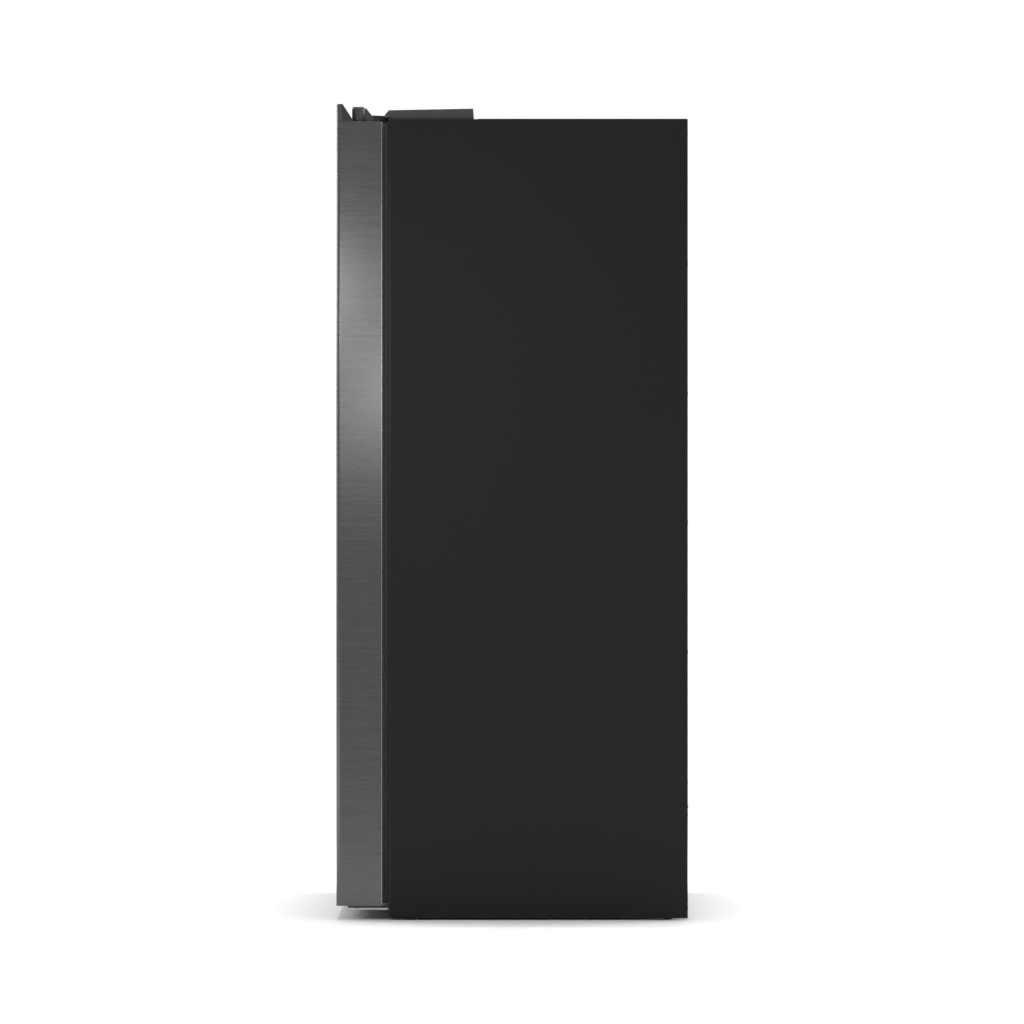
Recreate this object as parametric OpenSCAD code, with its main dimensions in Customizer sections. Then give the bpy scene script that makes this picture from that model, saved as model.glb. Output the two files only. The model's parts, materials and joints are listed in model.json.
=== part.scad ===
// Side by side refrigerator: a foamed steel case with a freezer on the left, a fresh
// food side on the right, two hinged doors and a machine compartment at the back.
// Millimetres. Origin at the middle of the footprint on the floor, front towards -Y.

/* [Overall] */
// Width over the side panels
case_w = 911; // [760:1:1100]
// Height of the case, floor to top panel
case_h = 1750; // [1458:1:2100]
// Depth from the door fronts to the back panel
total_d = 768; // [640:1:922]
// Gap between the side panels' lower edge and the floor
ground_gap = 4; // [2:0.5:8]
// Thickness of the sheet steel
sheet_t = 1; // [0.8:0.1:1.2]

/* [Doors] */
// Width of the freezer door
freezer_door_w = 395; // [360:1:440]
// Thickness of the doors without their gaskets
door_t = 99; // [90:1:115]
// Gap between the two doors
door_split = 8; // [6:1:12]
// Gap between a door's back and the case, which the gasket fills
gasket_gap = 15; // [12:1:18]
// Width of a gasket's strip
gasket_w = 14; // [10:1:16]
// Radius of a door's outer front corner
corner_r = 8; // [4:1:11]
// Height of the lip that rises above a door's top
lip_h = 38; // [30:1:45]
// Thickness of the lip's folded sheet
lip_t = 12; // [10:1:14]
// Height of the doors' steel skin above the floor
skin_bottom = 31; // [30:1:34]
// Thickness of the cap under a door
cap_t = 4; // [3:1:4]

/* [Handles] */
// Width of the open slot beside a door's front edge
grip_slot = 30; // [25:1:36]
// Reach of the finger pocket in from a door's free edge
grip_reach = 48; // [44:1:56]
// Depth of the finger pocket
grip_depth = 35; // [28:1:38]
// Wall of the handle's extrusion
grip_wall = 2; // [1.5:0.5:3]

/* [Hinges] */
// Distance of the hinge line in from a door's outer edge
hinge_in = 24; // [22:1:28]
// Distance of the hinge line behind a door's front
hinge_back = 48; // [44:1:52]
// Radius of the upper hinge pin
top_pin_r = 6; // [5:0.5:8]
// Radius of the lower hinge pin
bottom_pin_r = 8; // [6:0.5:9]
// Running clearance of a shaft in its hole
run_gap = 0.05; // [0.02:0.01:0.09]

/* [Cabinet] */
// Thickness of the freezer's outer wall
freezer_wall = 65; // [50:1:75]
// Thickness of the fresh food side's outer wall
fridge_wall = 50; // [45:1:60]
// Thickness of the wall between the two sides
mullion_w = 70; // [68:1:90]
// Thickness of the back wall
back_wall = 61; // [50:1:75]
// Thickness of the roof
roof_t = 60; // [50:1:75]
// Thickness of the plastic liners
liner_t = 2; // [1.5:0.5:3]
// Height of the cavities' floor
floor_z = 115; // [105:1:130]
// Depth of the machine compartment
machine_d = 215; // [205:1:235]
// Height of the machine compartment's ceiling
machine_top = 250; // [245:1:275]

/* [Interior] */
// Distance of the drawers' fronts behind the doors' backs
drawer_setback = 130; // [126:1:141]
// Height of a lower drawer
drawer_h = 178; // [160:1:184]
// Wall of the drawers and bins
bin_wall = 3; // [2:0.5:4]
// Height of a door bin
bin_h = 110; // [80:1:130]
// Number of bins on the fresh food door
fridge_bins = 5; // [3:1:6]
// Number of bins under the dispenser on the freezer door
freezer_low_bins = 3; // [2:1:4]
// Number of shelves on each side
shelf_count = 3; // [2:1:4]
// Thickness of a shelf
shelf_t = 10; // [8:1:14]

/* [Dispenser] */
// Width of the dispenser's front
disp_w = 240; // [220:1:250]
// Height of the dispenser's recess
disp_h = 330; // [300:1:360]
// Depth of the dispenser's recess
disp_d = 95; // [90:1:98]
// Height of the control panel
panel_h = 120; // [100:1:130]
// Inner radius of the ice chute
chute_r = 24; // [20:1:26]

/* [Hidden] */
$fn = 48;
eps = 0.5;
half_w = case_w / 2;
door_front = -total_d / 2;
door_back = door_front + door_t;
flange_t = 6;
flange_front = door_back + gasket_gap;
case_front = flange_front + flange_t;
case_back = total_d / 2;
inner_w = half_w - sheet_t;

skin_top = case_h - 5;
cap_depth = 10;
fridge_door_w = case_w - freezer_door_w - door_split;
split_x = -half_w + freezer_door_w + door_split / 2;
door_liner_t = 2;
lining_v = door_t - door_liner_t;
gasket_air = 0.3;

pocket_v = lip_t + grip_wall;
pocket_back = pocket_v + grip_depth;

freezer_x = [-half_w + freezer_wall, split_x - mullion_w / 2];
fridge_x = [split_x + mullion_w / 2, half_w - fridge_wall];
ceiling_z = case_h - roof_t;
cavity_back = case_back - back_wall;
machine_front = case_back - machine_d;
step_front = machine_front - 45;
step_top = machine_top + 48;
pan_z = 62;

hinge_x = half_w - hinge_in;
hinge_y = door_front + hinge_back;
hinge_arm_r = 11.5;
plate_t = 3.5;
plate_end = 230;
plate_screws = [110, 160, 210];
cover_wall = 2;
cover_air = 0.5;
nose_r = hinge_arm_r + cover_air + cover_wall;
nose_h = 28;

rail_z = [20, 61];
rail_x = [hinge_x - 19.5, hinge_x + 16.5];
rail_t = 2;
roller_r = 22;
roller_y = case_back - 44;
foot_y = case_front + 39;
axle_r = 4;

drawer_y = door_back + drawer_setback;
divider_z = max(floor_z + drawer_h + 13, step_top + 8);
divider_t = 16;
upper_drawer_h = 150;
cover_z = divider_z + divider_t + upper_drawer_h + 18;
slide_gap = 1;
side_gap = 6;
lower_drawer_z = [floor_z + slide_gap, floor_z + drawer_h];
upper_drawer_z = [divider_z + divider_t + slide_gap, divider_z + divider_t + upper_drawer_h];
shelf_y = [drawer_y + 5, cavity_back - 33];

dyke_depth = 40;
dyke_rim = 20;
dyke_z = [floor_z + 20, ceiling_z - 18];
fridge_dyke = [hinge_in + 40, hinge_in + fridge_x[1] - fridge_x[0] + 12];
freezer_dyke = [hinge_in + 52, hinge_in + freezer_x[1] - freezer_x[0] + 23];
bulge_z = [ceiling_z - 740, ceiling_z - 220];

disp_u = 185;
disp_top = ceiling_z - 380;
disp_z = [disp_top - disp_h, disp_top];
disp_wall = 3;
ice_u = disp_u - 55;
water_u = disp_u + 45;
chute_wall = 2.5;
chute_v = 37;
chute_z = disp_top - 10;
paddle_rod_r = 2;
paddle_v = 68;
paddle_z = disp_top - 25;
tray_t = 12;

bucket_z = [ceiling_z - 250, ceiling_z - 130];
bucket_y = [drawer_y - 20, cavity_back - 133];
auger_z = bucket_z[0] + 35;
auger_r = 5;
auger_x = (freezer_x[0] + freezer_x[1]) / 2;

evap_cover_y = cavity_back - 49;
fan_r = 55;
fan_hub_r = 14;
evap_fan_z = ceiling_z - 490;
fan_shaft_r = 3;

compressor_x = half_w - 195;
compressor_y = machine_front + 107;
compressor_r = 78;
cond_fan_x = compressor_x - compressor_r - 62;
cond_fan_z = 125;
cond_x = [cond_fan_x - 210, cond_fan_x - 40];
valve_x = half_w - 55;
valve_z = 180;
inlet_r = 3.175;
gland_x = compressor_x;
gland_z = 205;

filter_r = 27;
filter_x = fridge_x[1] - 45;
filter_z = ceiling_z - 42;
filter_neck_r = 12;

// ---- shared shapes ----

// A block between two corners, each axis given as [low, high]
module block(x, y, z)
    translate([x[0], y[0], z[0]])
        cube([x[1] - x[0], y[1] - y[0], z[1] - z[0]]);

// Round bars along each axis
module rod_x(x, y, z, r)
    translate([x[0], y, z])
        rotate([0, 90, 0])
            cylinder(r = r, h = x[1] - x[0]);

module rod_y(x, y, z, r)
    translate([x, y[0], z])
        rotate([-90, 0, 0])
            cylinder(r = r, h = y[1] - y[0]);

module rod_z(x, y, z, r)
    translate([x, y, z[0]])
        cylinder(r = r, h = z[1] - z[0]);

// The same piece on the left and on the right
module both_sides() {
    children();
    mirror([1, 0, 0])
        children();
}

// An open-topped box with walls of bin_wall and a stiff rim
module open_box(x, y, z)
    difference() {
        block(x, y, z);
        block([x[0] + bin_wall, x[1] - bin_wall], [y[0] + bin_wall, y[1] - bin_wall],
              [z[0] + bin_wall, z[1] + 1]);
    }

// A rectangle from the origin with its first corner rounded
module corner_square(w, d, r) {
    translate([r, 0])
        square([w - r, d]);
    translate([0, r])
        square([w, d - r]);
    intersection() {
        translate([r, r])
            circle(r = r);
        square([r, r]);
    }
}

// A fan wheel turning about +Z, with flat blades set at a pitch
module fan_wheel(blades, bore) {
    difference() {
        union() {
            cylinder(r = fan_hub_r, h = 18);
            for (i = [0:blades - 1])
                rotate([0, 0, i * 360 / blades])
                    translate([fan_hub_r - 2, 0, 9])
                        rotate([28, 0, 0])
                            translate([0, -14, -0.8])
                                cube([fan_r - fan_hub_r, 28, 1.6]);
        }
        translate([0, 0, -1])
            cylinder(r = bore, h = 20);
    }
}

// ---- case ----

module side_panel()
    block([inner_w, half_w], [case_front, case_back], [ground_gap, case_h]);

module side_panel_right() color("#282828") side_panel();

module side_panel_left() color("#282828") mirror([1, 0, 0]) side_panel();

module top_panel() color("#2b2b2b") block([-inner_w, inner_w], [case_front, case_back],
                                          [case_h - sheet_t, case_h]);

module back_panel() color("#8d9194") block([-inner_w, inner_w], [case_back - sheet_t, case_back],
                                           [machine_top + sheet_t, case_h - sheet_t]);

// One cavity, grown on every closed side, as a prism along X with a step at the back
module cavity(x, grow) {
    profile = [
        [case_front - eps, floor_z - grow],
        [step_front + grow, floor_z - grow],
        [step_front + grow, step_top - grow],
        [cavity_back + grow, step_top - grow],
        [cavity_back + grow, ceiling_z + grow],
        [case_front - eps, ceiling_z + grow]
    ];
    translate([x[0] - grow, 0, 0])
        rotate([90, 0, 90])
            linear_extrude(x[1] - x[0] + 2 * grow)
                polygon(profile);
}

module liner(x)
    difference() {
        intersection() {
            cavity(x, liner_t);
            block([-half_w, half_w], [case_front, case_back], [0, case_h]);
        }
        cavity(x, 0);
    }

module freezer_liner() color("#eceef0") liner(freezer_x);

module fridge_liner() color("#eceef0") liner(fridge_x);

module cabinet_foam()
    color("#e9d9a8")
        difference() {
            block([-inner_w, inner_w], [case_front, case_back - sheet_t],
                  [pan_z, case_h - sheet_t]);
            block([-half_w, half_w], [machine_front - sheet_t, case_back],
                  [pan_z - 1, machine_top + sheet_t]);
            cavity(freezer_x, liner_t);
            cavity(fridge_x, liner_t);
        }

module front_frame()
    color("#3a3b3d")
        difference() {
            block([-half_w, half_w], [flange_front, case_front], [ground_gap + 4, case_h]);
            for (x = [freezer_x, fridge_x])
                block(x, [flange_front - 1, case_front + 1], [floor_z, ceiling_z]);
            block([-half_w + 8.5, half_w - 8.5], [flange_front - 1, case_front + 1],
                  [0, skin_bottom + 3]);
        }

// One folded channel under each side, with the rear roller's axle and the foot's boss
module base_rail() {
    for (x = [rail_x[0], rail_x[1] - rail_t])
        block([x, x + rail_t], [case_front + 4, case_back - 4], rail_z);
    block(rail_x, [case_front + 4, case_back - 4], [rail_z[1] - rail_t, rail_z[1]]);
    block(rail_x, [case_front + 4, case_front + 4 + rail_t], rail_z);
    rod_x(rail_x, roller_y, roller_r, axle_r);
    difference() {
        block([rail_x[0], rail_x[1]], [foot_y - 15, foot_y + 15], [40, rail_z[1] - rail_t]);
        rod_z(hinge_x, foot_y, [39, rail_z[1] - rail_t], 5 + run_gap);
    }
}

module base_frame()
    color("#6f7376") {
        both_sides()
            base_rail();
        block([-inner_w, inner_w], [case_front, machine_front], [pan_z - sheet_t, pan_z]);
        block([-inner_w, inner_w], [machine_front - sheet_t, machine_front],
              [pan_z - sheet_t, machine_top + sheet_t]);
        block([-inner_w, inner_w], [machine_front, case_back - sheet_t],
              [machine_top, machine_top + sheet_t]);
        difference() {
            block([-rail_x[0], rail_x[0]], [machine_front - 20, case_back - 4],
                  [rail_z[0], rail_z[0] + rail_t]);
            for (x = [cond_x[0] + 10:25:cond_x[1] - 10])
                block([x, x + 12], [machine_front + 20, case_back - 40],
                      [rail_z[0] - 1, rail_z[0] + rail_t + 1]);
        }
        block([-rail_x[0], rail_x[0]], [machine_front - 20, machine_front - 20 + rail_t],
              [rail_z[0], pan_z - sheet_t]);
    }

module toe_grille()
    color("#1d1e1f") {
        grille_x = rail_x[0] - 2;
        difference() {
            block([-grille_x, grille_x], [case_front - 4, case_front + 2], [10, 32]);
            for (x = [-grille_x + 12:16:grille_x - 20])
                block([x, x + 8], [case_front - 5, case_front + 3], [14, 28]);
        }
    }

module leveling_feet()
    color("#17181a")
        both_sides() {
            rod_z(hinge_x, foot_y, [0, 8], 16);
            rod_z(hinge_x, foot_y, [8, rail_z[1] - rail_t - 1], 5);
        }

// A rear roller on its axle
module rear_roller()
    color("#202122")
        difference() {
            rod_x([rail_x[0] + rail_t + 3, rail_x[1] - rail_t - 3], roller_y, roller_r, roller_r);
            rod_x([0, half_w], roller_y, roller_r, axle_r + run_gap);
        }

module rear_roller_right() rear_roller();

module rear_roller_left() mirror([1, 0, 0]) rear_roller();

// ---- hinges ----

// The outline of a hinge: its nose at the origin, a slanting strap and a plate on the case,
// with every edge moved outwards by grow
module arm_outline(tail, grow) {
    strap_y = 78 - grow;
    strap_end = 10 + grow;
    plate_side = -75 - grow;
    lean = 1.2 * grow;
    circle(r = hinge_arm_r + grow);
    polygon([[8, 6], [-4 + lean, 18], [-32 + lean, strap_y], [strap_end, strap_y],
             [strap_end, tail + grow], [plate_side, tail + grow], [plate_side, strap_y],
             [-12 - lean, -2]]);
}

module top_hinge()
    translate([hinge_x, hinge_y, 0]) {
        difference() {
            translate([0, 0, case_h])
                linear_extrude(plate_t)
                    arm_outline(plate_end, 0);
            for (y = plate_screws)
                rod_z(-32, y, [case_h - 1, case_h + plate_t + 1], 2.7);
        }
        rod_z(0, 0, [skin_top - 23, case_h + 1], top_pin_r);
    }

module top_hinges() color("#b4b7ba") both_sides() top_hinge();

module hinge_screws()
    color("#9a9da0")
        both_sides()
            for (y = plate_screws)
                translate([hinge_x - 32, hinge_y + y, case_h]) {
                    cylinder(r = 2.5, h = plate_t);
                    translate([0, 0, plate_t])
                        cylinder(r = 6, h = 4, $fn = 6);
                }

// A box with a ramp at the front, as a prism along X; inset moves each face inwards
module cover_box(inset) {
    profile = [
        [58 + inset, -eps],
        [58 + inset, 10 - inset],
        [67 + inset, 20 - inset],
        [251 - inset, 23.5 - inset],
        [253 - inset, -eps]
    ];
    translate([-80 + inset, 0, 0])
        rotate([90, 0, 90])
            linear_extrude(94 - 2 * inset)
                polygon(profile);
}

// The moulded cover over an upper hinge: a domed nose, a skirted strap and a box on the case
module hinge_cover()
    translate([hinge_x, hinge_y, case_h]) {
        under = plate_t + cover_air;
        hem = skin_top + 2 - case_h;
        lay = case_front - hinge_y;
        difference() {
            union() {
                intersection() {
                    cover_box(0);
                    union() {
                        block([-100, 100], [lay, 300], [0, 30]);
                        block([-100, 100], [0, lay + 1], [under, 30]);
                    }
                }
                translate([0, 0, hem])
                    linear_extrude(10 - hem)
                        intersection() {
                            arm_outline(80, cover_wall + cover_air);
                            translate([-100, -50])
                                square([200, 50 + flange_front - hinge_y - 1]);
                        }
                translate([0, 0, hem])
                    rotate_extrude()
                        polygon([[0, 0], [nose_r, 0], [nose_r, nose_h - hem - 4],
                                 [nose_r - 1.2, nose_h - hem - 1.2],
                                 [nose_r - 4, nose_h - hem], [0, nose_h - hem]]);
                rotate([90, 0, 122])
                    translate([0, 0, -7])
                        linear_extrude(14)
                            polygon([[0, under], [30, under], [30, 10], [16, 25], [0, 25]]);
            }
            difference() {
                cover_box(cover_wall);
                block([-100, 100], [0, lay + cover_wall], [-1, under + cover_wall]);
            }
            translate([0, 0, hem - 1])
                linear_extrude(under - hem + 1)
                    arm_outline(plate_end, cover_air);
        }
    }

module hinge_covers() color("#3c3d3f") both_sides() hinge_cover();

module bottom_hinge()
    translate([hinge_x, hinge_y, 0]) {
        arm_z = [skin_bottom - cap_t - 5, skin_bottom - cap_t - 1];
        back = case_front + 4 - hinge_y;
        difference() {
            union() {
                rod_z(0, 0, arm_z, nose_r);
                block([-nose_r, nose_r], [0, back], arm_z);
                block([-nose_r, nose_r], [back - 3, back], [arm_z[0], 58]);
            }
            for (x = [-8, 8])
                rod_y(x, [back - 4, back + 1], 46, 2.7);
        }
        rod_z(0, 0, [arm_z[0], arm_z[1] + 20], bottom_pin_r);
    }

module bottom_hinges() color("#4a4c4e") both_sides() bottom_hinge();

// ---- machine compartment ----

module machine_cover()
    color("#54585b")
        difference() {
            cover_x = inner_w - 4;
            block([-cover_x, cover_x], [case_back - 1.5, case_back], [rail_z[0] + 4, machine_top]);
            for (x = [-cover_x + 40:22:gland_x - 60], z = [60, 125, 190])
                block([x, x + 10], [case_back - 3, case_back + 1], [z, z + 42]);
            rod_y(gland_x, [case_back - 3, case_back + 1], gland_z, 12);
            rod_y(valve_x, [case_back - 3, case_back + 1], valve_z, inlet_r + 6);
        }

module compressor()
    color("#1b1c1d")
        translate([compressor_x, compressor_y, 0]) {
            rotate_extrude()
                polygon([[0, 32], [62, 32], [compressor_r, 52], [compressor_r, 150],
                         [70, 172], [46, 188], [10, 192], [0, 192]]);
            block([-92, 92], [-40, 40], [30, 34]);
            for (x = [-78, 78], y = [-27, 27])
                rod_z(x, y, [rail_z[0] + rail_t, 31], 9);
            rod_z(-38, -20, [150, 215], 5);
            rod_z(42, 22, [150, 210], 4);
        }

// Finned coil, its fan's motor and the bracket that holds the motor
module condenser()
    color("#a9acae") {
        y = [machine_front + 25, case_back - 40];
        for (x = [cond_x[0]:12:cond_x[1]])
            block([x, x + 1.5], y, [60, 205]);
        for (z = [78:26:190], row = [y[0] + 22, y[0] + 75, y[1] - 22])
            rod_x([cond_x[0] - 6, cond_x[1] + 6], row, z, 4);
        for (row = [y[0], y[1] - 4])
            block([cond_x[0], cond_x[1] + 1], [row, row + 4], [rail_z[0] + rail_t, 66]);
        rod_x([cond_fan_x - 26, cond_fan_x + 1], compressor_y, cond_fan_z, 20);
        rod_x([cond_fan_x, cond_fan_x + 24], compressor_y, cond_fan_z, fan_shaft_r);
        block([cond_fan_x - 20, cond_fan_x - 16], [compressor_y - 10, compressor_y + 10],
              [rail_z[0] + rail_t, cond_fan_z]);
    }

module condenser_fan()
    color("#26282a")
        translate([cond_fan_x + 3, compressor_y, cond_fan_z])
            rotate([0, 90, 0])
                fan_wheel(7, fan_shaft_r + run_gap);

module drain_pan()
    color("#2c2e30")
        open_box([-rail_x[0] + 6, cond_x[0] - 14], [machine_front + 20, case_back - 24],
                 [rail_z[0] + rail_t, 60]);

module water_valve()
    color("#3d5f7a") {
        rod_z(valve_x, case_back - 54, [valve_z + 14, valve_z + 50], 15);
        block([valve_x - 17, valve_x + 17], [case_back - 76, case_back - 30],
              [valve_z - 16, valve_z + 16]);
        rod_y(valve_x, [case_back - 31, case_back - 0.5], valve_z, inlet_r);
        rod_y(valve_x, [case_back - 31, case_back - 20], valve_z, 8);
        block([valve_x - 4, valve_x + 4], [case_back - 62, case_back - 54],
              [rail_z[1], valve_z - 15]);
    }

module cord_gland()
    color("#141516")
        difference() {
            union() {
                rod_y(gland_x, [case_back - 12, case_back - 0.5], gland_z, 11.5);
                rod_y(gland_x, [case_back - 5, case_back - 1.5], gland_z, 15);
            }
            rod_y(gland_x, [case_back - 13, case_back + 1], gland_z, 4.5);
        }

// ---- freezer side ----

// Finned coil between end plates, with the motor of the fan above it
module evaporator()
    color("#c3c7ca") {
        x = [freezer_x[0] + 30, freezer_x[1] - 30];
        z = [divider_z + 60, evap_fan_z - 110];
        y = [evap_cover_y + 10, cavity_back - 5];
        for (i = [0:14])
            block([x[0] + i * (x[1] - x[0] - 1) / 14, x[0] + i * (x[1] - x[0] - 1) / 14 + 1], y, z);
        for (h = [z[0] + 25:50:z[1] - 15])
            rod_x([x[0] - 8, x[1] + 8], (y[0] + y[1]) / 2, h, 4);
        for (edge = [x[0] - 3, x[1]])
            block([edge, edge + 3], [y[0], cavity_back], z);
        rod_y(auger_x, [evap_cover_y + 29, cavity_back], evap_fan_z, 22);
        rod_y(auger_x, [evap_cover_y + 6, evap_cover_y + 30], evap_fan_z, fan_shaft_r);
    }

module evaporator_cover()
    color("#e4e6e8")
        difference() {
            block([freezer_x[0] + 1, freezer_x[1] - 1], [evap_cover_y, evap_cover_y + 3],
                  [cover_z + shelf_t + 5, ceiling_z - 4]);
            for (i = [-3:3])
                block([auger_x - 48, auger_x + 48], [evap_cover_y - 1, evap_cover_y + 4],
                      [evap_fan_z + i * 14 - 4, evap_fan_z + i * 14 + 4]);
            for (x = [freezer_x[0] + 25:18:freezer_x[1] - 40])
                block([x, x + 9], [evap_cover_y - 1, evap_cover_y + 4],
                      [cover_z + 40, cover_z + 85]);
        }

module evaporator_fan()
    color("#303234")
        translate([auger_x, evap_cover_y + 26, evap_fan_z])
            rotate([90, 0, 0])
                fan_wheel(5, fan_shaft_r + run_gap);

// A shelf across a cavity, between its side walls
module shelf(x, top)
    block([x[0] + 2, x[1] - 2], [shelf_y[0], shelf_y[1]], [top - shelf_t, top]);

module freezer_shelves()
    color("#c9dbe2") {
        zone = ceiling_z - 310 - cover_z - shelf_t;
        y = [shelf_y[0], evap_cover_y - 4];
        for (i = [0:shelf_count]) {
            low = cover_z + i * zone / (shelf_count + 1);
            block([freezer_x[0] + 2, freezer_x[1] - 2], y, [low, low + shelf_t]);
        }
        block([freezer_x[0] + 2, freezer_x[1] - 2], y, [divider_z, divider_z + divider_t]);
    }

module ice_maker()
    color("#d5d8da") {
        x = [freezer_x[0] + 14, freezer_x[1] - 60];
        y = [bucket_y[0] + 150, bucket_y[1] - 20];
        difference() {
            block(x, y, [bucket_z[1] + 14, bucket_z[1] + 70]);
            for (i = [0:6])
                translate([x[0] + 18 + i * 27, 0, bucket_z[1] + 70])
                    block([0, 21], [y[0] + 14, y[1] - 14], [-34, 1]);
        }
        block([x[1], freezer_x[1] - 12], y, [bucket_z[1] + 14, bucket_z[1] + 92]);
        block([x[0], x[1]], [y[1] - 8, y[1]], [bucket_z[1] + 70, ceiling_z]);
    }

module ice_bucket()
    color("#dfe9ee") {
        ice_x = -half_w + ice_u;
        x = [freezer_x[0] + 12, freezer_x[1] - 12];
        snout_y = [door_back + dyke_depth + 3, bucket_y[0] + 25];
        difference() {
            union() {
                open_box(x, bucket_y, bucket_z);
                block([ice_x - 38, ice_x + 38], snout_y, [bucket_z[0] - 85, bucket_z[0] + 1]);
            }
            chute_bore(chute_r + chute_wall);
            rod_y(auger_x, [bucket_y[0] - 1, bucket_y[1] + 1], auger_z, auger_r + run_gap);
        }
    }

// The slanting way that ice takes from the bucket to the glass
module chute_bore(r)
    translate([-half_w + ice_u, door_front + chute_v, chute_z])
        rotate([-45, 0, 0])
            translate([0, 0, -40])
                cylinder(r = r, h = 260);

module auger()
    color("#9ea3a6") {
        rod_y(auger_x, [bucket_y[0] - 4, bucket_y[1] + 14], auger_z, auger_r);
        pitch = 24;
        count = floor((bucket_y[1] - bucket_y[0] - 30) / pitch);
        for (i = [0:count])
            translate([auger_x, bucket_y[0] + 18 + i * pitch, auger_z])
                rotate([0, i * 50, 0])
                    translate([-28, 0, -3])
                        cube([56, 5, 6]);
    }

// A drawer with a raised front and a finger ledge
module drawer(x, depth_end, z) {
    open_box([x[0] + side_gap, x[1] - side_gap], [drawer_y, depth_end], z);
    block([x[0] + side_gap + 30, x[1] - side_gap - 30], [drawer_y - 8, drawer_y],
          [z[1] - 16, z[1] - 4]);
}

module freezer_drawer_lower() color("#dde6ea") drawer(freezer_x, step_front - 14, lower_drawer_z);

module freezer_drawer_upper() color("#dde6ea") drawer(freezer_x, evap_cover_y - 20, upper_drawer_z);

// ---- fresh food side ----

module crisper_lower() color("#dde6ea") drawer(fridge_x, step_front - 14, lower_drawer_z);

module crisper_upper() color("#dde6ea") drawer(fridge_x, shelf_y[1] - 20, upper_drawer_z);

// Glass shelves, and the two that close the crispers
module fridge_shelves()
    color("#c9dbe2") {
        zone = ceiling_z - 150 - cover_z - shelf_t;
        for (i = [1:shelf_count])
            shelf(fridge_x, cover_z + shelf_t + i * zone / (shelf_count + 1));
        shelf(fridge_x, cover_z + shelf_t);
        block([fridge_x[0] + 2, fridge_x[1] - 2], shelf_y, [divider_z, divider_z + divider_t]);
    }

module air_tower()
    color("#e4e6e8") {
        middle = (fridge_x[0] + fridge_x[1]) / 2;
        difference() {
            block([middle - 45, middle + 45], [cavity_back - 26, cavity_back],
                  [cover_z + shelf_t + 15, ceiling_z - 90]);
            block([middle - 42, middle + 42], [cavity_back - 23, cavity_back + 1],
                  [cover_z + shelf_t + 18, ceiling_z - 93]);
            for (z = [cover_z + 90:110:ceiling_z - 150])
                block([middle - 30, middle + 30], [cavity_back - 27, cavity_back - 20],
                      [z, z + 8]);
        }
    }

module filter_housing()
    color("#d5d8da")
        difference() {
            block([filter_x - 34, filter_x + 34], [drawer_y + 225, drawer_y + 290],
                  [filter_z - 32, ceiling_z]);
            rod_y(filter_x, [drawer_y + 224, drawer_y + 260], filter_z, filter_neck_r + run_gap);
        }

module water_filter()
    color("#f2f3f4") {
        rod_y(filter_x, [drawer_y + 12, drawer_y + 220], filter_z, filter_r);
        rod_y(filter_x, [drawer_y + 219, drawer_y + 255], filter_z, filter_neck_r);
        block([filter_x - 22, filter_x + 22], [drawer_y + 4, drawer_y + 13],
              [filter_z - 5, filter_z + 5]);
    }

module interior_lights()
    color("#fbfaf4")
        for (x = [freezer_x, fridge_x]) {
            middle = (x[0] + x[1]) / 2;
            block([middle - 80, middle + 80], [drawer_y + 20, drawer_y + 60],
                  [ceiling_z - 6, ceiling_z]);
        }

// ---- doors, drawn in a door's own frame ----
// u runs from the hinged edge to the free edge, v from the front to the back.

module on_left_door()
    translate([-half_w, door_front, 0])
        children();

module on_right_door()
    mirror([1, 0, 0])
        on_left_door()
            children();

// Plan of everything inside the steel skin and in front of the lining
module core_plan(w) {
    lip_end = w - grip_slot - sheet_t;
    inner = w - grip_reach - grip_wall;
    intersection() {
        translate([sheet_t, sheet_t])
            corner_square(w, lining_v - sheet_t, corner_r - sheet_t);
        union() {
            square([inner, lining_v]);
            square([lip_end, lip_t]);
            translate([0, pocket_back + grip_wall])
                square([w - grip_wall, lining_v - pocket_back - grip_wall]);
        }
    }
}

// Hinge holes through the ends of a door
module hinge_holes(top_r, bottom_r, reach)
    translate([hinge_in, hinge_back, 0]) {
        rod_z(0, 0, [skin_top - reach, skin_top + 1], top_r);
        rod_z(0, 0, [0, skin_bottom + reach], bottom_r);
    }

// Folded steel: outer side, front, the hem at the handle and the lip on top
module door_skin(w) {
    lip_end = w - grip_slot;
    difference() {
        translate([0, 0, skin_bottom])
            linear_extrude(skin_top - skin_bottom)
                corner_square(lip_end, door_t, corner_r);
        translate([sheet_t, sheet_t, skin_bottom - 1])
            linear_extrude(skin_top - skin_bottom + 2)
                corner_square(w, door_t, corner_r - sheet_t);
    }
    block([lip_end - sheet_t, lip_end], [0, lip_t], [skin_bottom, skin_top]);
    block([0, 12], [door_t - sheet_t, door_t], [skin_bottom, skin_top]);
    difference() {
        translate([0, 0, skin_top])
            linear_extrude(lip_h)
                corner_square(lip_end, lip_t, corner_r);
        translate([sheet_t, sheet_t, skin_top - 1])
            linear_extrude(lip_h + 1 - sheet_t)
                corner_square(lip_end - 2 * sheet_t, lip_t - 2 * sheet_t, corner_r - sheet_t);
    }
}

module door_handle(w)
    translate([0, 0, skin_bottom])
        linear_extrude(skin_top - skin_bottom) {
            translate([w - grip_reach - grip_wall, lip_t])
                square([grip_reach - grip_slot + grip_wall, grip_wall]);
            translate([w - grip_reach - grip_wall, lip_t])
                square([grip_wall, grip_depth + 2 * grip_wall]);
            translate([w - grip_reach - grip_wall, pocket_back])
                square([grip_reach + grip_wall, grip_wall]);
            translate([w - grip_wall, pocket_back])
                square([grip_wall, door_t - pocket_back]);
        }

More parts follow.
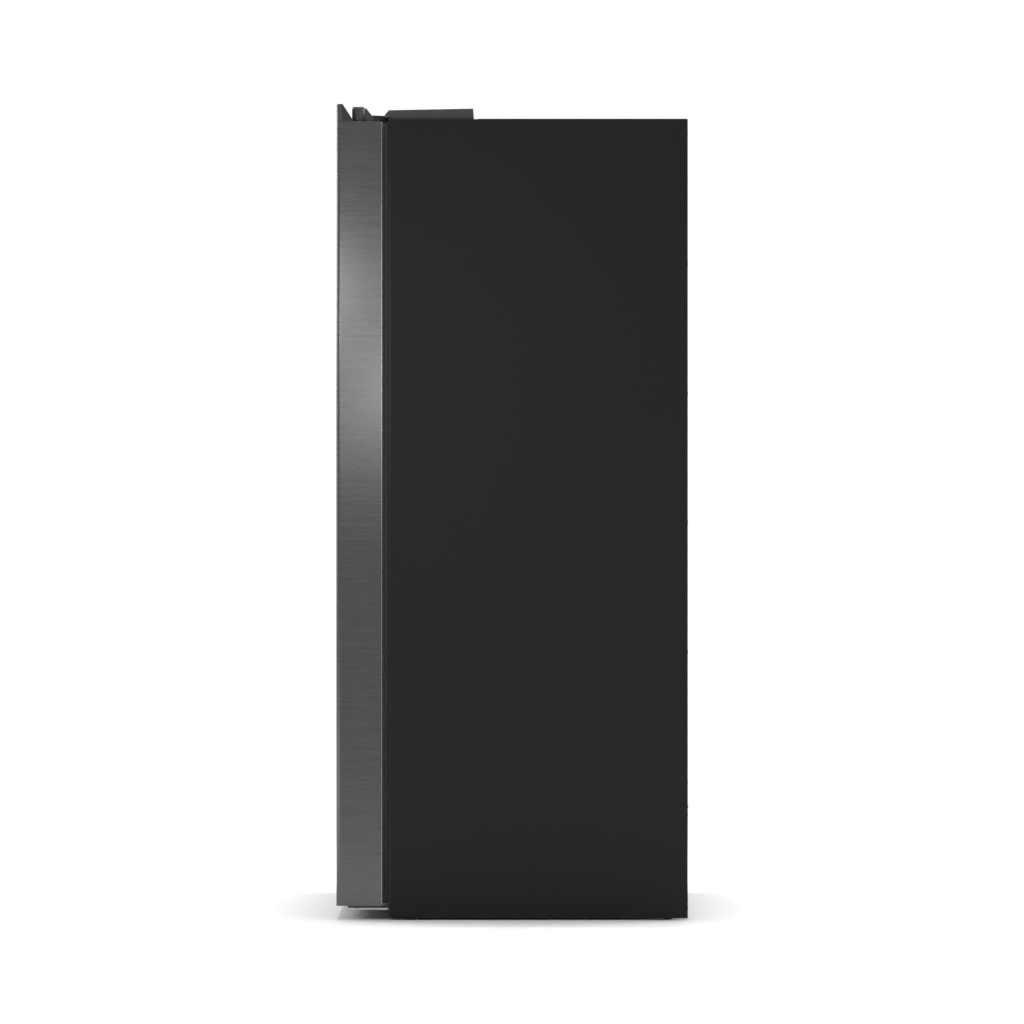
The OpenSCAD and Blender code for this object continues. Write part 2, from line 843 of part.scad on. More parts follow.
// Plugs in both ends of the skin, the lip's core, its end gusset and the handle's end plates
module door_caps(w) {
    gusset_d = 38.5;
    difference() {
        union() {
            for (z = [skin_bottom, skin_top - cap_depth])
                translate([0, 0, z])
                    linear_extrude(cap_depth)
                        core_plan(w);
            block([sheet_t, w - grip_wall], [25, lining_v], [skin_bottom - cap_t, skin_bottom]);
            for (z = [skin_bottom, skin_top - cap_depth])
                block([w - grip_reach, w - grip_wall], [pocket_v, pocket_back], [z, z + cap_depth]);
        }
        hinge_holes(top_pin_r + run_gap, bottom_pin_r + run_gap, cap_depth + 1);
    }
    translate([sheet_t, sheet_t, skin_top])
        linear_extrude(lip_h - sheet_t)
            corner_square(w - grip_slot - 2 * sheet_t, lip_t - 2 * sheet_t, corner_r - sheet_t);
    translate([3, lip_t, skin_top])
        rotate([90, 0, -90])
            linear_extrude(3)
                polygon([[0, 0], [lip_t - gusset_d, 0], [-2, lip_h], [0, lip_h]]);
}

// The raised rim behind a door's cavity side, inset on every face by a wall
module dyke(u, inset)
    difference() {
        block([u[0] + inset, u[1] - inset], [lining_v - (inset > 0 ? 1 : 0), door_t + dyke_depth - inset],
              [dyke_z[0] + inset, dyke_z[1] - inset]);
        block([u[0] + dyke_rim - inset, u[1] - dyke_rim + inset], [0, door_t + dyke_depth + 1],
              [dyke_z[0] + dyke_rim - inset, dyke_z[1] - dyke_rim + inset]);
    }

// The bulge that backs the dispenser, inset in the same way
module bulge(inset)
    block([freezer_dyke[0] + inset, freezer_dyke[1] - inset],
          [lining_v - (inset > 0 ? 1 : 0), door_t + dyke_depth - inset],
          [bulge_z[0] + inset, bulge_z[1] - inset]);

module door_lining(w)
    block([sheet_t, w - grip_wall], [lining_v, door_t], [skin_bottom, skin_top]);

// The skin's back fold lies over the lining's outer edge
module fold_gap()
    block([-1, 12], [door_t - sheet_t, door_t + 1], [skin_bottom - 1, skin_top + 1]);

module foam_block(w)
    difference() {
        translate([0, 0, skin_bottom + cap_depth])
            linear_extrude(skin_top - skin_bottom - 2 * cap_depth)
                core_plan(w);
        hinge_holes(top_pin_r + 3, bottom_pin_r + 3, 40);
    }

module gasket(w) {
    u = [hinge_in + 6, w - 8];
    v = [door_t, door_t + gasket_gap - gasket_air];
    z = [skin_bottom + 6, skin_top - 4];
    difference() {
        block(u, v, z);
        block([u[0] + gasket_w, u[1] - gasket_w], [v[0] - 1, v[1] + 1],
              [z[0] + gasket_w, z[1] - gasket_w]);
    }
}

// Open bins between the rims, from the lining back into the cabinet
module door_bin(u, z, depth)
    open_box([u[0] + dyke_rim + 1, u[1] - dyke_rim - 1], [door_t, door_t + depth], [z, z + bin_h]);

// ---- freezer door ----

module freezer_door_skin()
    color("#7f8082")
        on_left_door()
            difference() {
                door_skin(freezer_door_w);
                dispenser_hole(0);
            }

// The opening in the door's front for the dispenser, front to back
module dispenser_hole(v_start) {
    half = disp_w / 2;
    block([disp_u - half, disp_u + half], [v_start - 1, disp_d + disp_wall],
          [disp_z[0] - disp_wall, disp_z[1] + disp_wall]);
    block([disp_u - half, disp_u + half], [v_start - 1, lip_t],
          [disp_z[1], disp_z[1] + panel_h]);
}

module freezer_door_foam()
    color("#e9d9a8")
        difference() {
            on_left_door()
                difference() {
                    union() {
                        foam_block(freezer_door_w);
                        dyke(freezer_dyke, door_liner_t);
                        bulge(door_liner_t);
                    }
                    dispenser_hole(0);
                }
            chute_bore(chute_r + chute_wall);
        }

module freezer_door_liner()
    color("#eceef0")
        difference() {
            on_left_door()
                difference() {
                    union() {
                        door_lining(freezer_door_w);
                        dyke(freezer_dyke, 0);
                        bulge(0);
                    }
                    dyke(freezer_dyke, door_liner_t);
                    bulge(door_liner_t);
                    dispenser_hole(0);
                    fold_gap();
                }
            chute_bore(chute_r + chute_wall);
        }

module freezer_door_gasket() color("#1b1c1d") on_left_door() gasket(freezer_door_w);

module freezer_door_caps() color("#232426") on_left_door() door_caps(freezer_door_w);

module freezer_door_handle() color("#161718") on_left_door() door_handle(freezer_door_w);

module freezer_door_bins()
    color("#dfe9ee")
        on_left_door() {
            first = dyke_z[0] + dyke_rim;
            pitch = (bulge_z[0] - first) / freezer_low_bins;
            for (i = [0:freezer_low_bins - 1])
                door_bin(freezer_dyke, first + i * pitch, 99);
            door_bin(freezer_dyke, bulge_z[1] + 30, 99);
        }

// The recessed tub with its spout, nozzle and the paddles' rod
module dispenser_housing()
    color("#1f2123") {
        half = disp_w / 2;
        on_left_door() {
            difference() {
                dispenser_hole(1);
                block([disp_u - half + disp_wall, disp_u + half - disp_wall], [-1, disp_d], disp_z);
                block([disp_u - half + disp_wall, disp_u + half - disp_wall], [-1, 4],
                      [disp_z[1] + disp_wall, disp_z[1] + panel_h - disp_wall]);
                rod_z(water_u, 60, [disp_z[1] - 1, disp_z[1] + disp_wall + 1], 4);
                ice_hole();
            }
            rod_x([disp_u - half + 1, disp_u + half - 1], paddle_v, paddle_z, paddle_rod_r);
            rod_z(water_u, 60, [disp_z[1] - 12, disp_z[1] + disp_wall], 4);
        }
    }

// The slanting tube from the back of the door to the spout
module ice_chute()
    color("#2a2c2e")
        difference() {
            intersection() {
                chute_bore(chute_r + chute_wall);
                on_left_door()
                    block([0, freezer_door_w], [0, door_t + dyke_depth],
                          [disp_z[1] - 12, ceiling_z]);
            }
            chute_bore(chute_r);
        }

// The chute's passage, in the door's own frame
module ice_hole()
    translate([half_w, -door_front, 0])
        chute_bore(chute_r + chute_wall);

module dispenser_panel()
    color("#0b0c0d")
        on_left_door() {
            half = disp_w / 2 - disp_wall;
            block([disp_u - half, disp_u + half], [0.5, 4],
                  [disp_z[1] + disp_wall, disp_z[1] + panel_h - disp_wall]);
        }

// A paddle that hangs on the rod and is pushed back by a glass
module paddle(u)
    on_left_door()
        difference() {
            union() {
                rod_x([u - 36, u + 36], paddle_v, paddle_z, 5);
                block([u - 34, u + 34], [paddle_v - 2, paddle_v + 1.5],
                      [paddle_z - 112, paddle_z]);
            }
            rod_x([u - 40, u + 40], paddle_v, paddle_z, paddle_rod_r + run_gap);
        }

module ice_paddle() color("#2b2d2f") paddle(ice_u);

module water_paddle() color("#2b2d2f") paddle(water_u);

module drip_tray()
    color("#17181a")
        on_left_door() {
            u = [disp_u - disp_w / 2 + 8, disp_u + disp_w / 2 - 8];
            difference() {
                block(u, [8, disp_d - 5], [disp_z[0] + 0.5, disp_z[0] + tray_t]);
                for (x = [u[0] + 12:12:u[1] - 16])
                    block([x, x + 6], [18, disp_d - 14], [disp_z[0] + 3, disp_z[0] + tray_t + 1]);
            }
        }

// ---- fresh food door ----

module fridge_door_skin() color("#7f8082") on_right_door() door_skin(fridge_door_w);

module fridge_door_foam()
    color("#e9d9a8")
        on_right_door() {
            foam_block(fridge_door_w);
            dyke(fridge_dyke, door_liner_t);
        }

module fridge_door_liner()
    color("#eceef0")
        on_right_door()
            difference() {
                union() {
                    door_lining(fridge_door_w);
                    dyke(fridge_dyke, 0);
                }
                dyke(fridge_dyke, door_liner_t);
                fold_gap();
            }

module fridge_door_gasket() color("#1b1c1d") on_right_door() gasket(fridge_door_w);

module fridge_door_caps() color("#232426") on_right_door() door_caps(fridge_door_w);

module fridge_door_handle() color("#161718") on_right_door() door_handle(fridge_door_w);

module fridge_door_bins()
    color("#dfe9ee")
        on_right_door() {
            first = dyke_z[0] + dyke_rim;
            pitch = (dyke_z[1] - dyke_rim - first) / fridge_bins;
            for (i = [0:fridge_bins - 1])
                door_bin(fridge_dyke, first + i * pitch, 120);
        }

side_panel_right();
side_panel_left();
top_panel();
back_panel();
base_frame();
cabinet_foam();
freezer_liner();
fridge_liner();
front_frame();
toe_grille();
top_hinges();
hinge_covers();
hinge_screws();
bottom_hinges();
leveling_feet();
rear_roller_left();
rear_roller_right();
machine_cover();
compressor();
condenser();
condenser_fan();
drain_pan();
water_valve();
cord_gland();
evaporator();
evaporator_cover();
evaporator_fan();
freezer_shelves();
ice_maker();
ice_bucket();
auger();
freezer_drawer_upper();
freezer_drawer_lower();
air_tower();
fridge_shelves();
crisper_upper();
crisper_lower();
filter_housing();
water_filter();
interior_lights();
freezer_door_skin();
freezer_door_foam();
freezer_door_liner();
freezer_door_gasket();
freezer_door_caps();
freezer_door_handle();
freezer_door_bins();
dispenser_housing();
ice_chute();
dispenser_panel();
ice_paddle();
water_paddle();
drip_tray();
fridge_door_skin();
fridge_door_foam();
fridge_door_liner();
fridge_door_gasket();
fridge_door_caps();
fridge_door_handle();
fridge_door_bins();
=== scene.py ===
"""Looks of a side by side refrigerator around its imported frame: finishes, detail pieces, studio."""
import json
import math

import bmesh
import bpy
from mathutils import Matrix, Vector


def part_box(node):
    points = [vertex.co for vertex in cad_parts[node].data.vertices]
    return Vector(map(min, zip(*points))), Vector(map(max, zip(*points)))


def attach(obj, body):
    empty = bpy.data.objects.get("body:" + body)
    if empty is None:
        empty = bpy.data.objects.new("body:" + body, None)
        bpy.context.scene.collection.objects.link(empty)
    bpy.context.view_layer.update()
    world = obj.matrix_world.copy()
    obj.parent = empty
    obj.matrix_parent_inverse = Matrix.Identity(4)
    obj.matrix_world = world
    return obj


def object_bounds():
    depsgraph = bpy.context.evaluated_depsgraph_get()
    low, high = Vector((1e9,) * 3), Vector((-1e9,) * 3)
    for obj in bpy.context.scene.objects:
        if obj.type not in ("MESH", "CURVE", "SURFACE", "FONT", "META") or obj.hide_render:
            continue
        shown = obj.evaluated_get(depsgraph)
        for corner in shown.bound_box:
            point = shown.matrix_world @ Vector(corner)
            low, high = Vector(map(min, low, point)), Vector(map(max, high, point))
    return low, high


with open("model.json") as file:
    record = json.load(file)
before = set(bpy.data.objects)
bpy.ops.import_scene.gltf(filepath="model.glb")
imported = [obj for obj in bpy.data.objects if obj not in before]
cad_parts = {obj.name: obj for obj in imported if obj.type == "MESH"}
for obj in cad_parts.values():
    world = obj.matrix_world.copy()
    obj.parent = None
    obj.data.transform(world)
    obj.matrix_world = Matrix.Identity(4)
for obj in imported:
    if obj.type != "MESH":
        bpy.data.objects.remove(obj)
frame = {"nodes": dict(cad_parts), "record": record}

cad_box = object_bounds()
NODES = frame["nodes"]
BODY_OF = {}
for body_name, members in frame["record"]["behaviour"]["bodies"].items():
    for member in members:
        BODY_OF[member] = body_name

SIDES = ((-1, "left"), (1, "right"))
DOORS = ("freezer_door", "fridge_door")
PIN = next(j for j in frame["record"]["behaviour"]["joints"] if j["name"] == "fridge_door_hinge")
HINGE_X, HINGE_Y = PIN["pos_m"][0], PIN["pos_m"][1]
DOOR_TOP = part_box("fridge_door_handle")[1].z
COVER_RISE = 0.0221
COVER_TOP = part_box("top_panel")[1].z + COVER_RISE
SCREW_IN = 0.012
LOW_HEAD = 0.0011
HEXAGON = 6


# ---------------------------------------------------------------- camera and studio


def set_camera():
    """A long lens, square on to the right side, at the height of the middle."""
    lo, hi = cad_box
    field = 2.237
    data = bpy.data.cameras.new("side_camera")
    data.lens = 200
    data.sensor_width = 36
    data.clip_end = 100
    camera = bpy.data.objects.new("side_camera", data)
    bpy.context.scene.collection.objects.link(camera)
    distance = field * data.lens / data.sensor_width
    camera.location = (hi.x + distance, (lo.y + hi.y) / 2, (lo.z + hi.z) / 2)
    camera.rotation_euler = (math.radians(90), 0, math.radians(90))
    bpy.context.scene.camera = camera


def softbox(name, place, target, size, power):
    """A rectangular lamp at place that faces target."""
    data = bpy.data.lights.new(name, "AREA")
    data.shape = "RECTANGLE"
    data.size, data.size_y = size
    data.energy = power
    lamp = bpy.data.objects.new(name, data)
    lamp.location = place
    aim = Vector(target) - Vector(place)
    lamp.rotation_euler = aim.to_track_quat("-Z", "Y").to_euler()
    bpy.context.scene.collection.objects.link(lamp)
    lamp.visible_camera = False


def set_studio():
    """A pale floor that fades into a pale surround, with soft lamps on three sides."""
    scene = bpy.context.scene
    scene.view_settings.view_transform = "Standard"
    world = bpy.data.worlds.new("studio")
    scene.world = world
    world.use_nodes = True
    tree = world.node_tree
    tree.nodes.clear()
    ray = tree.nodes.new("ShaderNodeLightPath")
    mix = tree.nodes.new("ShaderNodeMixShader")
    out = tree.nodes.new("ShaderNodeOutputWorld")
    tree.links.new(ray.outputs["Is Camera Ray"], mix.inputs["Fac"])
    tree.links.new(mix.outputs[0], out.inputs["Surface"])
    ambient, seen = 0.62, 1.05
    for slot, strength in ((1, ambient), (2, seen)):
        sky = tree.nodes.new("ShaderNodeBackground")
        sky.inputs["Color"].default_value = (1, 1, 1, 1)
        sky.inputs["Strength"].default_value = strength
        tree.links.new(sky.outputs[0], mix.inputs[slot])
    floor_disc()
    right = cad_box[1].x
    near = right + 0.9
    softbox("door_broad", (near, -0.35, 1.24), (right, -0.35, 1.24), (0.54, 0.50), 0.95)
    softbox("door_upper", (near, -0.55, 1.43), (right, -0.46, 1.38), (0.18, 0.12), 0.95)
    softbox("door_lower", (near, -0.24, 1.18), (right, -0.29, 1.17), (0.17, 0.12), 0.30)
    softbox("edge_strip", (right + 2.7, 2.7, 1.80), (right, -0.3, 1.5), (0.35, 1.1), 14)
    softbox("front_key", (-2.4, -4.4, 2.9), (0, -0.3, 1.0), (2.4, 2.2), 120)
    softbox("front_strip", (0.9, -4.4, 1.4), (0.2, -0.4, 0.9), (0.5, 2.6), 22)
    softbox("back_fill", (-2.4, 4.6, 2.8), (0, 0.3, 0.9), (2.4, 2.4), 110)
    softbox("top_light", (-0.1, 0.0, 5.2), (-0.1, 0, 0), (1.05, 1.2), 250)


def floor_disc():
    """The pale floor: a disc whose edge fades out, so that it shows no horizon."""
    radius, solid_to, gone_at = 6.0, 1.4, 3.6
    mesh = bpy.data.meshes.new("studio_floor")
    bm = bmesh.new()
    bmesh.ops.create_circle(bm, cap_ends=True, segments=96, radius=radius)
    bm.to_mesh(mesh)
    bm.free()
    disc = bpy.data.objects.new("studio_floor", mesh)
    bpy.context.scene.collection.objects.link(disc)
    finish = Finish("studio_floor_finish", (0.93, 0.93, 0.93), 0.75)
    away = finish.node("ShaderNodeVectorMath", {"operation": "LENGTH"}, {0: finish.place()}, "Value")
    finish.drive("Alpha", finish.ramp(away, ((solid_to, 1.0), (gone_at, 0.0))))
    mesh.materials.append(finish.set(Specular_IOR_Level=0.1).material)


# ---------------------------------------------------------------- shader writing


class Value:
    """One number socket of a finish; arithmetic on it adds Math nodes."""

    def __init__(self, finish, socket):
        self.finish = finish
        self.socket = socket

    def _math(self, operation, *terms):
        return self.finish.node("ShaderNodeMath", {"operation": operation}, dict(enumerate(terms)))

    def __add__(self, other):
        return self._math("ADD", self, other)

    def __radd__(self, other):
        return self._math("ADD", other, self)

    def __mul__(self, other):
        return self._math("MULTIPLY", self, other)

    def __rmul__(self, other):
        return self._math("MULTIPLY", other, self)


class Finish:
    """A procedural surface: a Principled shader and what drives it."""

    def __init__(self, name, tone, roughness, metallic=0.0):
        self.material = bpy.data.materials.new(name)
        self.material.use_nodes = True
        self.tree = self.material.node_tree
        self.shader = self.tree.nodes["Principled BSDF"]
        self.tone = tone
        self.set(Base_Color=(*tone, 1), Roughness=roughness, Metallic=metallic)

    def node(self, kind, settings=None, inputs=None, output=0):
        """Adds one node: its settings first, then its sockets' values or links."""
        made = self.tree.nodes.new(kind)
        for key, value in (settings or {}).items():
            setattr(made, key, value)
        for key, value in (inputs or {}).items():
            if isinstance(value, Value):
                self.tree.links.new(value.socket, made.inputs[key])
            else:
                made.inputs[key].default_value = value
        return Value(self, made.outputs[output])

    def place(self):
        return self.node("ShaderNodeTexCoord", output="Object")

    def stretched(self, scale):
        """The piece's own coordinates in metres times a number, or one number an axis."""
        axes = scale if isinstance(scale, tuple) else (scale,) * 3
        return self.node("ShaderNodeVectorMath", {"operation": "MULTIPLY"}, {0: self.place(), 1: axes})

    def noise(self, scale, detail=2.0, roughness=0.5):
        inputs = {"Vector": self.stretched(scale), "Scale": 1.0, "Detail": detail, "Roughness": roughness}
        return self.node("ShaderNodeTexNoise", inputs=inputs)

    def cells(self, scale, output="Distance"):
        inputs = {"Vector": self.stretched(scale), "Scale": 1.0}
        return self.node("ShaderNodeTexVoronoi", {"feature": "F1"}, inputs, output)

    def ramp(self, value, ends):
        """A straight change from the first (input, output) pair to the second."""
        (a, low), (b, high) = ends
        inputs = {"Value": value, "From Min": a, "From Max": b, "To Min": low, "To Max": high}
        return self.node("ShaderNodeMapRange", {"clamp": True}, inputs)

    def mix(self, amount, first, second):
        """Blends two colours, each an (r, g, b) or another mix."""
        inputs = {0: amount}
        for key, colour in ((6, first), (7, second)):
            inputs[key] = colour if isinstance(colour, Value) else (*colour, 1)
        return self.node("ShaderNodeMix", {"data_type": "RGBA"}, inputs, 2)

    def drive(self, socket, value):
        self.tree.links.new(value.socket, self.shader.inputs[socket])

    def tint(self, amount, low, high):
        """Colour that runs between two shades of the finish's own tone."""
        self.drive("Base Color", self.mix(amount, shade(self.tone, low), shade(self.tone, high)))

    def roughen(self, value, *ends):
        """Roughness that follows a value between two (value, roughness) pairs."""
        self.drive("Roughness", self.ramp(value, ends))

    def bump(self, height, distance, strength=1.0):
        inputs = {"Height": height, "Distance": distance, "Strength": strength}
        self.drive("Normal", self.node("ShaderNodeBump", inputs=inputs))

    def set(self, **values):
        """Constants of the shader's own sockets, by name with _ for a space."""
        for key, value in values.items():
            self.shader.inputs[key.replace("_", " ")].default_value = value
        return self


def shade(colour, factor):
    return tuple(min(1.0, channel * factor) for channel in colour)


# ---------------------------------------------------------------- finishes


def black_stainless():
    """Dark steel brushed level: fine streaks in tone, gloss and height."""
    finish = Finish("black_stainless_brushed", (0.112, 0.112, 0.115), 0.27, 1.0)
    fine = finish.noise((26.0, 26.0, 900.0), 3.0, 0.6)
    broad = finish.noise((5.0, 5.0, 190.0), 2.0)
    cloud = finish.noise((2.0, 2.0, 1.6), 2.0)
    streak = fine * 0.68 + broad * 0.32
    contrast = finish.ramp(streak, ((0.3, 0.0), (0.7, 1.0)))
    finish.tint(contrast, 0.84, 1.18)
    finish.roughen(streak + 0.3 * cloud, (0.4, 0.23), (0.9, 0.33))
    finish.bump(streak, 0.00004, 0.6)
    return finish.material


def dark_panel():
    """Matt powder coat on the case's sides and top, with a fine orange peel."""
    finish = Finish("dark_powder_coat", (0.0145, 0.0145, 0.0147), 0.62)
    peel = finish.noise(900.0, 2.0)
    cloud = finish.noise((3.0, 3.0, 2.0), 3.0)
    finish.tint(cloud, 0.93, 1.07)
    finish.roughen(peel + 0.5 * cloud, (0.4, 0.56), (1.1, 0.68))
    finish.bump(peel, 0.00006, 0.5)
    return finish.set(Specular_IOR_Level=0.12).material


def frame_enamel():
    """Satin black enamel on the case's front flange."""
    finish = Finish("frame_enamel", (0.009, 0.009, 0.0095), 0.5)
    peel = finish.noise(500.0, 2.0)
    finish.roughen(peel, (0.3, 0.34), (0.7, 0.46))
    finish.bump(peel, 0.00005, 0.4)
    return finish.set(Specular_IOR_Level=0.25).material


def zinc_sheet():
    """Galvanised sheet with its crystal spangle and a little dulling."""
    finish = Finish("zinc_sheet", (0.42, 0.44, 0.45), 0.42, 0.85)
    spangle = finish.cells(70.0)
    crystal = finish.cells(55.0, "Color")
    grey = finish.node("ShaderNodeRGBToBW", inputs={0: crystal})
    dull = finish.noise(5.0, 4.0)
    finish.tint(grey, 0.82, 1.12)
    finish.roughen(grey * 0.5 + dull * 0.5, (0.2, 0.32), (0.8, 0.56))
    finish.bump(spangle, 0.00005, 0.3)
    return finish.material


def white_liner():
    """Thermoformed white plastic: soft gloss with slow waves."""
    finish = Finish("white_liner_plastic", (0.80, 0.82, 0.84), 0.28)
    wave = finish.noise(14.0, 2.0)
    grain = finish.noise(700.0, 2.0)
    finish.tint(wave, 0.97, 1.02)
    finish.roughen(grain + 0.5 * wave, (0.4, 0.22), (1.1, 0.36))
    finish.bump(wave * 0.7 + grain * 0.08, 0.0004, 0.25)
    return finish.material


def moulded(name, tone, roughness, grain_size=0.0009):
    """Moulded plastic with a spark-eroded grain of the given size."""
    finish = Finish(name, tone, roughness)
    grain = finish.cells(1.0 / grain_size)
    haze = finish.noise(22.0, 3.0)
    finish.tint(haze, 0.88, 1.15)
    finish.roughen(grain + 0.4 * haze, (0.2, roughness - 0.06), (1.2, roughness + 0.1))
    finish.bump(grain, 0.00008, 0.45)
    return finish.material


def gasket_rubber():
    """Soft dark vinyl with a dusting of talc in its folds."""
    finish = Finish("gasket_vinyl", (0.095, 0.095, 0.098), 0.5)
    dust = finish.noise(60.0, 4.0, 0.7)
    talc = finish.ramp(dust, ((0.5, 0.0), (0.8, 0.5)))
    finish.drive("Base Color", finish.mix(talc, finish.tone, (0.15, 0.15, 0.155)))
    finish.roughen(dust, (0.3, 0.5), (0.7, 0.68))
    finish.bump(dust, 0.0001, 0.3)
    return finish.material


def dark_anodised():
    """Anodised extrusion with drawing lines along its length."""
    finish = Finish("dark_anodised", (0.030, 0.030, 0.033), 0.36, 0.8)
    lines = finish.noise((1300.0, 1300.0, 3.0), 2.0)
    finish.tint(lines, 0.75, 1.35)
    finish.roughen(lines, (0.3, 0.30), (0.7, 0.44))
    finish.bump(lines, 0.00004, 0.5)
    return finish.material


def clear_plastic():
    """Clear polystyrene of bins and drawers, faintly frosted by handling."""
    finish = Finish("clear_bin_plastic", (0.80, 0.87, 0.90), 0.12)
    haze = finish.noise(30.0, 4.0, 0.65)
    finish.roughen(haze, (0.35, 0.08), (0.7, 0.24))
    finish.drive("Alpha", finish.ramp(haze, ((0.3, 0.30), (0.7, 0.40))))
    finish.bump(haze, 0.0003, 0.15)
    return finish.set(IOR=1.57).material


def shelf_glass():
    """Tempered shelf glass with a green cast."""
    finish = Finish("shelf_glass_tempered", (0.62, 0.80, 0.78), 0.05)
    film = finish.noise(12.0, 3.0)
    finish.roughen(film, (0.3, 0.03), (0.7, 0.10))
    finish.drive("Alpha", finish.ramp(film, ((0.3, 0.26), (0.7, 0.33))))
    return finish.set(IOR=1.52).material


def bright_metal(name, tone, roughness, grain=300.0):
    """Plated or rolled metal with fine marks."""
    finish = Finish(name, tone, roughness, 1.0)
    marks = finish.noise(grain, 4.0, 0.6)
    finish.tint(marks, 0.8, 1.1)
    finish.roughen(marks, (0.3, roughness - 0.06), (0.7, roughness + 0.12))
    finish.bump(marks, 0.00005, 0.4)
    return finish.material


def painted_shell(name, tone):
    """Gloss paint with runs and dust, as on a compressor."""
    finish = Finish(name, tone, 0.3)
    dust = finish.noise((40.0, 40.0, 18.0), 5.0, 0.7)
    settled = finish.ramp(dust, ((0.55, 0.0), (0.85, 0.6)))
    finish.drive("Base Color", finish.mix(settled, tone, (0.16, 0.155, 0.15)))
    finish.roughen(dust, (0.4, 0.22), (0.8, 0.6))
    finish.bump(dust, 0.0002, 0.3)
    return finish.set(Coat_Roughness=0.2).material


def insulation():
    """Cut face of rigid foam, with its cells."""
    finish = Finish("rigid_foam", (0.80, 0.66, 0.36), 0.9)
    cell = finish.cells(900.0)
    flow = finish.noise(9.0, 4.0)
    finish.tint(flow, 0.85, 1.1)
    finish.bump(cell, 0.0004, 0.6)
    return finish.material


def panel_glass():
    """Smoked glass of the control panel."""
    finish = Finish("smoked_glass", (0.006, 0.006, 0.007), 0.06)
    smear = finish.noise(25.0, 5.0, 0.6)
    finish.roughen(smear, (0.45, 0.04), (0.75, 0.14))
    return finish.set(Coat_Weight=0.6).material


def lamp_lens():
    """Frosted lens of the interior lights."""
    finish = Finish("frosted_lens", (0.93, 0.93, 0.90), 0.5)
    ribs = finish.node("ShaderNodeTexWave", {"bands_direction": "X"},
                       {"Vector": finish.place(), "Scale": 160.0}, "Fac")
    finish.tint(ribs, 0.9, 1.0)
    finish.bump(ribs, 0.0003, 0.5)
    return finish.set(Emission_Color=(1.0, 0.97, 0.9, 1), Emission_Strength=0.6).material


def lit_sign(name, strength):
    """White print that is lit from behind, a little uneven."""
    finish = Finish(name, (0.75, 0.80, 0.85), 0.4)
    glow = finish.noise(400.0, 1.0)
    finish.drive("Emission Color", finish.mix(glow, (0.72, 0.82, 1.0), (0.92, 0.96, 1.0)))
    return finish.set(Emission_Strength=strength).material


def make_finishes():
    """Every finish by its slot's name, and some for small pieces that have no slot."""
    return {
        "dark_panel": dark_panel(),
        "black_stainless": black_stainless(),
        "black_frame": frame_enamel(),
        "galvanised": zinc_sheet(),
        "foam": insulation(),
        "white_liner": white_liner(),
        "black_plastic": moulded("black_moulding", (0.018, 0.018, 0.020), 0.48),
        "hinge_plastic": moulded("hinge_cover_moulding", (0.040, 0.040, 0.042), 0.46, 0.0007),
        "gasket_rubber": gasket_rubber(),
        "handle_trim": dark_anodised(),
        "clear_bin": clear_plastic(),
        "shelf_glass": shelf_glass(),
        "hinge_steel": bright_metal("zinc_plated_steel", (0.46, 0.47, 0.48), 0.34),
        # lighter steel for the painted highlight along each door's back edge
        "edge_highlight_steel": bright_metal("painted_highlight_steel", (0.55, 0.56, 0.58), 0.30),
        "compressor_black": painted_shell("compressor_enamel", (0.012, 0.012, 0.013)),
        "fin_aluminium": bright_metal("fin_aluminium_sheet", (0.66, 0.68, 0.70), 0.36, (20.0, 20.0, 900.0)),
        "fan_plastic": moulded("fan_moulding", (0.030, 0.031, 0.034), 0.42),
        "grey_plastic": moulded("grey_moulding", (0.50, 0.52, 0.54), 0.40),
        "valve_blue": moulded("valve_moulding", (0.05, 0.12, 0.22), 0.38),
        "panel_glass": panel_glass(),
        "light_lens": lamp_lens(),
        "filter_white": moulded("filter_moulding", (0.80, 0.81, 0.82), 0.30),
        "copper": bright_metal("copper_tube", (0.72, 0.38, 0.24), 0.28),
        "lit_sign": lit_sign("lit_sign", 2.2),
        "dim_sign": lit_sign("dim_sign", 0.35),
    }


FINISHES = make_finishes()
SLOT_OF = {part["node"]: part["material_slot"] for part in frame["record"]["subparts"]}


def dress_nodes():
    """Gives every CAD node the finish of its slot."""
    for name, obj in NODES.items():
        obj.data.materials.clear()
        obj.data.materials.append(FINISHES[SLOT_OF[name]])


def ease_edges(node, width):
    """Breaks a node's sharp edges, as folding and moulding do."""
    sharp_angle, same_place = 35, 0.00001
    obj = NODES[node]
    weld = obj.modifiers.new("weld", "WELD")
    weld.merge_threshold = same_place
    bevel = obj.modifiers.new("edge_radius", "BEVEL")
    bevel.width = width
    bevel.segments = 2
    bevel.limit_method = "ANGLE"
    bevel.angle_limit = math.radians(sharp_angle)
    bevel.harden_normals = True


# ---------------------------------------------------------------- mesh building


def piece(name, mesh, node, finish, smooth=35):
    """Links a mesh as a piece that rides with the body that holds the given node."""
    obj = bpy.data.objects.new(name, mesh)
    bpy.context.scene.collection.objects.link(obj)
    mesh.materials.append(FINISHES[finish])
    if smooth:
        mesh.shade_smooth()
        mesh.set_sharp_from_angle(angle=math.radians(smooth))
    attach(obj, BODY_OF[node])


def from_bmesh(name, bm):
    """A mesh of what the bmesh holds, with its faces turned outward."""
    bmesh.ops.recalc_face_normals(bm, faces=bm.faces[:])
    mesh = bpy.data.meshes.new(name)
    bm.to_mesh(mesh)
    bm.free()
    return mesh


def bevel_all(bm, width, segments=2, angle=30):
    """Rounds the edges that turn by more than an angle."""
    turn = math.radians(angle)
    sharp = [e for e in bm.edges if len(e.link_faces) == 2 and e.calc_face_angle(0) > turn]
    if sharp and width > 0:
        bmesh.ops.bevel(bm, geom=sharp, offset=width, segments=segments, profile=0.6,
                        affect="EDGES", clamp_overlap=True)


